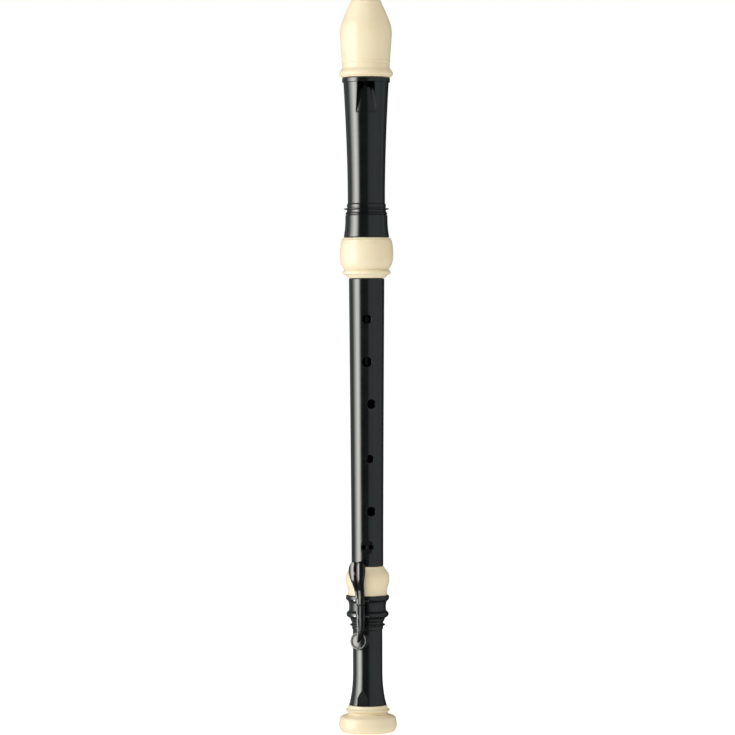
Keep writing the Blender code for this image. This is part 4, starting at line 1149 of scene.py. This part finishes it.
DISH_SIDE = 13
dish_outer, dish_inner, dish_columns = hole_block(DOUBLE_Z, 0.0, DISH_SIDE)
middle_blocks += [(dish_outer, dish_columns), (dish_inner, dish_columns)]
middle_sheets += double_hole(
    level_loop(middle_grid, dish_outer, dish_columns, False),
    level_loop(middle_grid, dish_inner, dish_columns, True),
    2 * DISH_SIDE,
    len(BLOCK_ROWS) - 1,
)
middle_kept = left_open(middle_grid, *middle_blocks)
shown(
    "middle_tube_moulding",
    skin("middle_tube_moulding", [(middle_grid, middle_kept), *middle_sheets]),
    black_abs("black_middle", shift=0.2),
    "black_abs",
    "middle",
    "middle_tube",
)

# ---------------------------------------------------------------- Head ring
# The ivory ABS ring over the upper socket: two fine steps, a long swell, a cove, and a
# bead at its lower end, with a lip that covers the socket's end.
head_ring_outside = np.concatenate(
    (
        rounded([(16.62, 436.95, 0), (20.8, 436.95, 0.3), (21.2, 436.3, 0.2), (21.45, 435.6, 0)]),
        flowing([(21.55, 435.45), (21.85, 435.15), (22.2, 434.8), (22.45, 434.2)]),
        rounded([(22.5, 433.8, 0), (22.55, 432.7, 0.15), (22.8, 432.5, 0.15), (22.9, 431.9, 0)]),
        flowing([
            (22.95, 431.4), (23.15, 429.6), (23.4, 426.8), (23.52, 423.5), (23.48, 420.0),
            (23.3, 417.6),
        ]),
        flowing([
            (23.05, 416.3), (22.65, 414.9), (22.1, 413.3), (21.4, 411.9), (20.6, 410.6),
            (19.8, 409.5),
        ]),
        rounded([(19.5, 409.0, 0), (19.35, 408.6, 0.2), (19.7, 408.4, 0)]),
        flowing([
            (20.1, 408.3), (20.7, 407.9), (21.1, 407.2), (21.2, 406.3), (21.05, 405.4),
            (20.6, 404.8), (20.0, 404.5),
        ]),
        rounded([
            (19.5, 404.35, 0), (18.4, 404.1, 0.3), (17.3, 402.6, 0.4), (16.0, 401.45, 0.2),
            (14.4, 401.45, 0.1),
        ]),
        rounded([(14.4, 401.6, 0), (14.4, 403.1, 0.1), (16.62, 403.1, 0.1), (16.62, 436.8, 0)]),
    )
)
shown(
    "head_ring_moulding",
    skin("head_ring_moulding", [spun(head_ring_outside)]),
    ivory_abs("ivory_head_ring", 31.0),
    "ivory_abs",
    "head",
    "head_socket_ring",
)

# ---------------------------------------------------------------- Head tube
# The black ABS head: a spigot for the beak, a plain lip, a long waisted body with turned
# rings at its foot, and, cut in its front, the window and the ramp down from its edge.
WINDOW_HALF, RAMP_HALF = 7.4, 9.0
WINDOW_TOP, EDGE_Z, RAMP_END_Z = 573.6, 568.9, 547.2
BORE_R, WINDWAY_R, WINDWAY_HALF = 12.2, 12.9, 7.2
EDGE_R, RAMP_END_R = 12.65, 18.25
WAIST_Z, WAIST_R, WAIST_SWELL = 475.1, 16.45, 3.55
SPIGOT_TOP = 603.1


def body_radius(height):
    """The long body's radius: from the waist up it grows by a power of the way."""
    way = np.clip((height - WAIST_Z) / (WINDOW_TOP - WAIST_Z), 0.0, 1.0)
    return WAIST_R + WAIST_SWELL * way**1.65


even_z = np.linspace(WAIST_Z, EDGE_Z - 0.3, 60)
ramp_z = np.linspace(545.0, EDGE_Z - 0.3, 64)
body_z = np.unique(np.concatenate((even_z, ramp_z)))[::-1]
lip = rounded(
    [
        (15.7, 577.95, 0),
        (18.4, 577.95, 0),
        (20.7, 577.95, 0),
        (21.1, 577.25, 0.1),
        (21.1, 573.95, 0.3),
        (20.2, 573.95, 0.2),
        (20.06, 573.8, 0),
    ]
)
head_lower = np.concatenate(
    (
        np.stack((body_radius(body_z), body_z), -1),
        rounded([(WAIST_R, 474.8, 0), (WAIST_R, 467.4, 0)]),
        flowing([
            (16.6, 467.15), (16.95, 466.75), (17.2, 466.1), (17.27, 465.3), (17.22, 464.5),
            (17.1, 463.9),
        ], 0.2),
        rounded([
            (17.0, 463.6, 0), (17.05, 463.2, 0.15), (19.9, 462.8, 0.12), (20.05, 462.5, 0.12),
            (19.9, 462.15, 0.12), (17.2, 461.5, 0.3), (17.4, 459.7, 0),
        ]),
        flowing([(17.6, 459.5), (18.2, 459.15), (18.5, 458.6), (18.45, 458.0), (18.0, 457.5)], 0.2),
        rounded([
            (17.85, 457.3, 0), (17.9, 457.0, 0.2), (18.45, 456.8, 0.2), (18.6, 456.2, 0),
            (18.65, 449.8, 2.0), (19.15, 443.6, 2.0), (19.95, 438.5, 0), (20.1, 437.95, 0.1),
            (19.7, 437.25, 0), (16.32, 437.25, 0),
        ]),
    )
)
head_inside_low = rounded(
    [
        (16.32, 437.1, 0), (16.32, 403.4, 0.2), (14.32, 403.4, 0.3), (14.32, 437.1, 0.2),
        (12.2, 437.1, 0),
    ]
)


def ramp_floor(height, radius):
    """The ramp's face: a cone round the bore that climbs from the edge to a low step at its end."""
    cone = EDGE_R + (RAMP_END_R - EDGE_R) * (EDGE_Z - height) / (EDGE_Z - RAMP_END_Z)
    return np.where(height > RAMP_END_Z, np.minimum(radius, cone), radius)


def opening_half(height):
    """Half the width of the window and ramp at a height."""
    return np.interp(height, (RAMP_END_Z, EDGE_Z), (RAMP_HALF, WINDOW_HALF))


GROOVE_END, GROOVE_WALL = 0.9614, 0.9615
FRONT_SHARES = np.array(
    [-1.0, -GROOVE_WALL, -GROOVE_END, *np.linspace(-0.86, 0.86, 15), GROOVE_END, GROOVE_WALL, 1.0]
)


def head_columns(radius, height, front_radius, half, groove=None):
    """Rows of the head's skin: the front between two side walls, and the arc round the back.

    The walls have a rounded edge where they stand, and no width where front and skin meet.
    A groove sinks the front to its own radius, up to its walls.
    """
    across = FRONT_SHARES[None, :] * half
    front_out = np.sqrt(np.clip(front_radius**2 - across**2, 0.0, None))
    if groove is not None:
        sunk = np.abs(FRONT_SHARES) <= GROOVE_END
        front_out = np.where(sunk, np.sqrt(groove**2 - across**2), front_out)
    front = np.stack(np.broadcast_arrays(across, -front_out, height), -1)
    depth = np.abs(np.sqrt(radius**2 - half**2) - front_out[:, :1])
    fillet = np.minimum(0.22, depth / 3)
    bend = np.linspace(0.0, math.pi / 2, 5)[None, :]
    x = half + fillet * (1 - np.sin(bend))
    y = np.sqrt(radius**2 - x**2) - fillet * (1 - np.cos(bend))
    edge = np.stack(np.broadcast_arrays(x, -y, height), -1)
    down_wall = np.linspace(0.0, 1.0, 6)[None, 1:, None]
    wall = edge[:, -1:] + (front[:, -1:] - edge[:, -1:]) * down_wall
    right = np.concatenate((edge, wall), 1)[:, ::-1]
    left = right[:, ::-1] * (-1.0, 1.0, 1.0)
    start = np.degrees(np.arcsin((half + fillet) / radius))
    turn = start + (360.0 - 2 * start) * np.linspace(0.0, 1.0, 109)[None, :]
    arc = ring_of(radius, height, turn)
    return np.concatenate((left, front[:, 1:-1], right, arc[:, 1:]), 1)


def column(values):
    """Values as a column of rows."""
    return np.array(values, float).reshape(-1, 1)


def round_rows(radius, height, groove=None):
    """Rows of the head that are whole all round, but for the windway's groove if it has one."""
    radius, height = np.broadcast_arrays(column(radius), column(height))
    return head_columns(radius, height, radius, WINDOW_HALF, groove)


open_z = column(np.linspace(WINDOW_TOP, EDGE_Z, 9))
open_r = body_radius(open_z)
lower_r, lower_z = column(head_lower[:, 0]), column(head_lower[:, 1])
window_rows = head_columns(open_r, open_z, column([BORE_R]), WINDOW_HALF)
window_rows[:1] = head_columns(open_r[:1], open_z[:1], column([BORE_R]), WINDOW_HALF, WINDWAY_R)
head_rows = [
    round_rows((15.2, 15.7, 15.7, 15.7), (SPIGOT_TOP, 602.6, 590.0, 578.1)),
    round_rows(lip[:, 0], lip[:, 1]),
    window_rows,
    head_columns(open_r[-1:], open_z[-1:], column([EDGE_R]), WINDOW_HALF),
    head_columns(lower_r, lower_z, ramp_floor(lower_z, lower_r), opening_half(lower_z)),
    round_rows(head_inside_low[:, 0], head_inside_low[:, 1]),
    round_rows(BORE_R, np.linspace(437.6, EDGE_Z, 60)),
    round_rows(BORE_R, open_z[-2:0:-1]),
    round_rows(BORE_R, (WINDOW_TOP, 580.0, 590.0, 602.8, SPIGOT_TOP), WINDWAY_R),
]
head_rows.append(head_rows[0][:1])
head_grid = np.concatenate(head_rows)

# The window is left open in its own rows, and in the bore's rows at the same heights
ends = [int(end) for end in np.cumsum([len(part) for part in head_rows])]
front_columns = (9, 29)
window_out = ((ends[1], ends[2] - 1), front_columns)
window_in = ((ends[6] - 1, ends[7]), front_columns)
shown(
    "head_tube_moulding",
    skin("head_tube_moulding", [(head_grid, left_open(head_grid, window_out, window_in))]),
    black_abs("black_head", shift=0.5),
    "black_abs",
    "head",
    "head_tube",
)

# ---------------------------------------------------------------- Block
# The ivory ABS plug that leaves the windway between itself and the wall: a cylinder with
# a flat-stepped floor in front, scooped with the beak behind and chamfered at its end.
TIP_Z = 646.6
TIP_BACK = -5.0
SCOOP_LEN, SCOOP_DEPTH = 42.0, 29.0
WINDWAY_FLOOR_R = 11.9


def scoop_at(height):
    """How far back the hollow behind the beak leaves the ivory at a height."""
    down = np.clip((TIP_Z - height) / SCOOP_LEN, 0.0, 1.4)
    return TIP_BACK + SCOOP_DEPTH * down**1.8


def scooped_ring(radius, centre, back, height, turns, blend):
    """Rings of circles cut straight across behind, with the corners softly rounded.

    Seen from a point inside the section, the distance to the skin is a smooth minimum of
    those to the circle and to the cut. A larger blend makes a tighter corner.
    """
    radius, centre, back, height = (column(value) for value in (radius, centre, back, height))
    rear = np.minimum(back, centre + radius)
    middle = (centre - radius + rear) / 2
    along_x, along_y = np.sin(np.radians(turns))[None, :], -np.cos(np.radians(turns))[None, :]
    off = middle - centre
    reach = -off * along_y + np.sqrt(radius**2 - off**2 * along_x**2)
    cut = np.where(along_y > 0.02, (back - middle) / np.maximum(along_y, 0.02), 1000.0)
    near = (reach**-blend + cut**-blend) ** (-1.0 / blend)
    grid = np.broadcast_arrays(near * along_x, middle + near * along_y, height)
    return np.stack(grid, -1)


def corner_less(depth, radius):
    """How much a rounded corner takes off at a depth below its end."""
    share = np.clip(1.0 - np.asarray(depth) / radius, 0.0, 1.0)
    return radius * (1.0 - np.sqrt(1.0 - share**2))


ivory_turns = np.linspace(0.0, 360.0, 241)
block_z = np.concatenate(
    (
        [574.9],
        np.linspace(575.1, 575.9, 4),
        np.linspace(577.0, 604.0, 16),
        np.linspace(605.0, 646.0, 70),
        [646.3, 646.5],
    )
)
block_r = 12.12 - np.clip(575.7 - block_z, 0.0, 0.8)
block_less = corner_less(646.55 - block_z, 0.25)
block_back = scoop_at(block_z) - block_less
block_grid = scooped_ring(
    block_r - block_less, 0.0 * block_z, block_back, block_z, ivory_turns, 26.0
)
in_windway = (np.abs(block_grid[..., 0]) < WINDWAY_HALF) & (block_grid[..., 1] < 0.0)
floor_y = -np.sqrt(np.clip(WINDWAY_FLOOR_R**2 - block_grid[..., 0] ** 2, 0.0, None))
stepped_y = np.maximum(block_grid[..., 1], floor_y)
block_grid[..., 1] = np.where(in_windway, stepped_y, block_grid[..., 1])


def capped(grid):
    """Rings closed by a fan at each end."""
    caps = [np.repeat(grid[[i], :-1].mean(1, keepdims=True), grid.shape[1], 1) for i in (0, -1)]
    return np.concatenate((caps[0], grid, caps[1]))


shown(
    "block_moulding",
    skin("block_moulding", [capped(block_grid)]),
    ivory_abs("ivory_block", 47.0),
    "ivory_abs",
    "head",
    "block",
)

# ---------------------------------------------------------------- Beak
# The ivory ABS cap of the head: a flared rim with a bead above it, a full cheek, and a
# tip drawn forward for the lips, hollowed behind and slotted for the windway.
beak_profile = np.concatenate(
    (
        rounded([(21.0, 578.25, 0), (21.35, 578.3, 0.1), (21.6, 578.6, 0)]),
        flowing([
            (22.0, 579.0), (22.8, 579.6), (23.5, 580.4), (23.78, 581.2), (23.7, 582.1),
            (23.3, 583.1),
        ], 0.3),
        flowing([
            (22.7, 584.1), (22.0, 584.9), (21.4, 585.6), (21.05, 586.4), (20.95, 587.4),
            (20.93, 588.9),
        ], 0.4),
        rounded([
            (20.93, 590.0, 0), (20.97, 590.9, 0.3), (21.3, 591.2, 0.2), (21.5, 591.9, 0.3),
            (21.4, 592.9, 0.2), (21.22, 593.1, 0),
        ]),
        flowing([
            (21.25, 593.5), (21.35, 595.4), (21.6, 599.8), (22.0, 604.8), (22.35, 609.5),
            (22.7, 613.3), (22.9, 616.4),
        ]),
        flowing([
            (22.85, 618.4), (22.5, 621.2), (21.95, 624.3), (21.0, 627.2), (19.75, 630.3),
            (18.5, 633.8), (17.0, 637.3), (15.45, 640.8),
        ]),
        flowing([(14.95, 642.0), (14.45, 643.2), (14.0, 644.3), (13.5, 645.2)], 0.3),
        flowing([(13.25, 645.6), (12.95, 646.05), (12.5, 646.38), (11.95, 646.55)], 0.12),
    )
)
TIP_FORWARD, LEAN_LEN, TIP_ROUNDING = 3.4, 43.0, 1.1
beak_z = beak_profile[:, 1]
lean = TIP_FORWARD * np.clip((beak_z - (TIP_Z - LEAN_LEN)) / LEAN_LEN, 0.0, 1.0) ** 2
beak_less = corner_less(TIP_Z - beak_z, TIP_ROUNDING)
beak_back = scoop_at(beak_z) - beak_less
beak_grid = scooped_ring(beak_profile[:, 0], -lean, beak_back, beak_z, ivory_turns, 14.0)

# The hollow that takes the head's spigot, and above it the block
PAST_TIP = 655.0
spigot_hollow = np.array(
    [
        (0.0, 570.0),
        (16.0, 570.0),
        (16.0, 603.4),
        (BORE_R, 603.4),
        (BORE_R, PAST_TIP),
        (0.0, PAST_TIP),
    ]
)


def windway_tool(low, high):
    """A closed arched bar that cuts the windway's roof along the front of the bore."""
    across = np.linspace(-WINDWAY_HALF, WINDWAY_HALF, 25)
    roof = np.stack((across, -np.sqrt(WINDWAY_R**2 - across**2)), -1)
    floor = np.stack((across[::-1], 0.0 * across - 8.5), -1)
    outline = np.concatenate((roof, floor, roof[:1]))
    ends = [np.insert(outline, 2, height, axis=1) for height in (low, high)]
    return skin("windway_tool", [capped(np.stack(ends))])


shown(
    "beak_moulding",
    worked(
        "beak_moulding",
        skin("beak_body", [capped(beak_grid)]),
        ("DIFFERENCE", skin("spigot_hollow", [spun(spigot_hollow, 240)])),
        ("DIFFERENCE", windway_tool(602.0, PAST_TIP)),
    ),
    ivory_abs("ivory_beak", 63.0),
    "ivory_abs",
    "head",
    "beak",
)

# ---------------------------------------------------------------- Stage
# A pale floor under the bell in a white studio. A cool lamp on the left and fills from
# above and the right light the ivory, and the black tubes mirror the studio's walls, with
# a tall bright strip on the left that draws the long line down them.
studio = bpy.context.scene
studio.view_settings.view_transform = "Standard"

floor_mesh = bpy.data.meshes.new("studio_floor")
floor_corners = [(x, y, -0.0002) for x, y in ((-3, -3), (3, -3), (3, 4), (-3, 4))]
floor_mesh.from_pydata(floor_corners, [], [(0, 1, 2, 3)])
floor = bpy.data.objects.new("studio_floor", floor_mesh)
studio.collection.objects.link(floor)
floor_material = bpy.data.materials.new("studio_paper")
floor_material.use_nodes = True
paper = floor_material.node_tree
paper_shader = paper.nodes["Principled BSDF"]
paper_shader.inputs["Base Color"].default_value = (0.62, 0.62, 0.62, 1.0)
paper_shader.inputs["Roughness"].default_value = 0.9
glow = node(paper, "ShaderNodeEmission", Strength=0.72)
mixed = paper.nodes.new("ShaderNodeAddShader")
paper.links.new(paper_shader.outputs[0], mixed.inputs[0])
paper.links.new(glow.outputs[0], mixed.inputs[1])
paper.links.new(mixed.outputs[0], paper.nodes["Material Output"].inputs["Surface"])
floor_mesh.materials.append(floor_material)
floor.visible_glossy = False


def soft_lamp(name, place, size, radiance, tint=(1.0, 1.0, 1.0)):
    """A rectangular lamp that faces the recorder's middle, as bright all over as its radiance.

    It has no reflection of its own, because the studio's walls draw those.
    """
    light = bpy.data.lights.new(name, "AREA")
    light.shape = "RECTANGLE"
    light.size, light.size_y = size
    light.energy = radiance * math.pi * size[0] * size[1]
    light.color = tint
    lamp = bpy.data.objects.new(name, light)
    studio.collection.objects.link(lamp)
    lamp.location = place
    towards = Vector((0.0, 0.0, 0.3)) - Vector(place)
    lamp.rotation_euler = towards.to_track_quat("-Z", "Y").to_euler()
    lamp.visible_glossy = False
    lamp.visible_camera = False


def lamp_place(turn, far, height):
    """A place round the recorder, turned in degrees from the front to the viewer's right."""
    turn = math.radians(turn)
    return (far * math.sin(turn), -far * math.cos(turn), height)


soft_lamp("left_key", lamp_place(-64.0, 1.6, 0.6), (0.8, 1.2), 5.6, (0.80, 0.85, 1.0))
soft_lamp("top_fill", lamp_place(-5.0, 0.9, 1.8), (1.0, 1.0), 2.1)
soft_lamp("right_fill", lamp_place(62.0, 1.7, 0.5), (1.0, 1.4), 0.25)

world = bpy.data.worlds.new("studio")
studio.world = world
world.use_nodes = True
sky = world.node_tree
sky.nodes.clear()


def faded(factor, start, end, first, last):
    """A number that goes from first to last as a factor goes from start to end, and stops."""
    fade = node(sky, "ShaderNodeMapRange", clamp=True)
    values = {"From Min": start, "From Max": end, "To Min": first, "To Max": last}
    for socket, value in values.items():
        fade.inputs[socket].default_value = value
    sky.links.new(factor, fade.inputs["Value"])
    return fade.outputs[0]


def worked_out(operation, *sources):
    """The result of a sum on other nodes' outputs and on numbers."""
    sum_node = node(sky, "ShaderNodeMath", operation=operation)
    for source, socket in zip(sources, sum_node.inputs):
        if isinstance(source, float):
            socket.default_value = source
        else:
            sky.links.new(source, socket)
    return sum_node.outputs[0]


# The bearing of a direction from the front, as a share of the full turn
direction = sky.nodes.new("ShaderNodeSeparateXYZ")
directions = sky.nodes.new("ShaderNodeTexCoord")
sky.links.new(directions.outputs["Generated"], direction.inputs[0])
towards_front = worked_out("MULTIPLY", direction.outputs["Y"], -1.0)
bearing = worked_out("ARCTAN2", direction.outputs["X"], towards_front)
bearing_share = faded(bearing, -math.pi, math.pi, 0.0, 1.0)


def seen_round(stops, tint):
    """A colour for each bearing round the studio, from (bearing, brightness) stops."""
    wall = sky.nodes.new("ShaderNodeValToRGB")
    ramp = wall.color_ramp
    while len(ramp.elements) < len(stops):
        ramp.elements.new(0.5)
    for element, (turn, value) in zip(ramp.elements, stops):
        element.position = (turn + 180.0) / 360.0
        element.color = (*(value * part for part in tint), 1.0)
    sky.links.new(bearing_share, wall.inputs["Fac"])
    return wall.outputs["Color"]


studio_walls = seen_round(
    (
        (-180.0, 0.02),
        (-152.0, 0.10),
        (-140.0, 0.24),
        (-104.0, 0.24),
        (-44.0, 0.30),
        (-32.0, 0.05),
        (4.0, 0.06),
        (16.0, 0.36),
        (60.0, 0.42),
        (95.0, 0.30),
        (112.0, 0.30),
        (120.0, 0.10),
        (150.0, 0.03),
        (180.0, 0.02),
    ),
    (0.88, 1.0, 1.0),
)
tall_strip = seen_round(
    (
        (-112.0, 0.0),
        (-100.0, 0.09),
        (-90.0, 0.38),
        (-82.0, 0.55),
        (-75.0, 0.85),
        (-67.0, 1.0),
        (-58.0, 0.90),
        (-52.0, 0.68),
        (-47.0, 0.30),
        (-41.0, 0.0),
    ),
    (1.0, 0.99, 0.95),
)


def lit(colour, strength):
    """A background with another node's colour and strength."""
    light = sky.nodes.new("ShaderNodeBackground")
    sky.links.new(colour, light.inputs["Color"])
    sky.links.new(strength, light.inputs["Strength"])
    return light


def for_rays(fact, others, these):
    """One light for the rays that a Light Path fact is true of, and another for the rest."""
    choice = sky.nodes.new("ShaderNodeMixShader")
    sky.links.new(rays.outputs[fact], choice.inputs["Fac"])
    sky.links.new(others.outputs[0], choice.inputs[1])
    sky.links.new(these.outputs[0], choice.inputs[2])
    return choice


# What is mirrored fades out towards the ceiling and the ground
steep = worked_out("ABSOLUTE", direction.outputs["Z"])
mirrored = sky.nodes.new("ShaderNodeAddShader")
sky.links.new(lit(tall_strip, faded(steep, 0.38, 0.54, 7.4, 0.0)).outputs[0], mirrored.inputs[0])
sky.links.new(lit(studio_walls, faded(steep, 0.45, 0.85, 1.0, 0.25)).outputs[0], mirrored.inputs[1])
ambient = node(sky, "ShaderNodeBackground", Color=(1.0, 0.985, 0.95, 1.0), Strength=0.50)
white = node(sky, "ShaderNodeBackground", Color=(1.0, 1.0, 1.0, 1.0), Strength=1.0)
rays = sky.nodes.new("ShaderNodeLightPath")
seen = for_rays("Is Camera Ray", for_rays("Is Glossy Ray", ambient, mirrored), white)
sky_output = sky.nodes.new("ShaderNodeOutputWorld")
sky.links.new(seen.outputs[0], sky_output.inputs["Surface"])

lens = bpy.data.cameras.new("camera")
lens.lens = 164.1
lens.sensor_width = 36.0
lens.clip_end = 20.0
camera = bpy.data.objects.new("camera", lens)
studio.collection.objects.link(camera)
camera.location = (0.00055, -2.96, 0.381)
look = Vector((0.00055, 0.0, 0.32245)) - camera.location
rolled = look.to_track_quat("-Z", "Y").to_matrix() @ Matrix.Rotation(math.radians(-0.166), 3, "Z")
camera.rotation_euler = rolled.to_euler()
studio.camera = camera
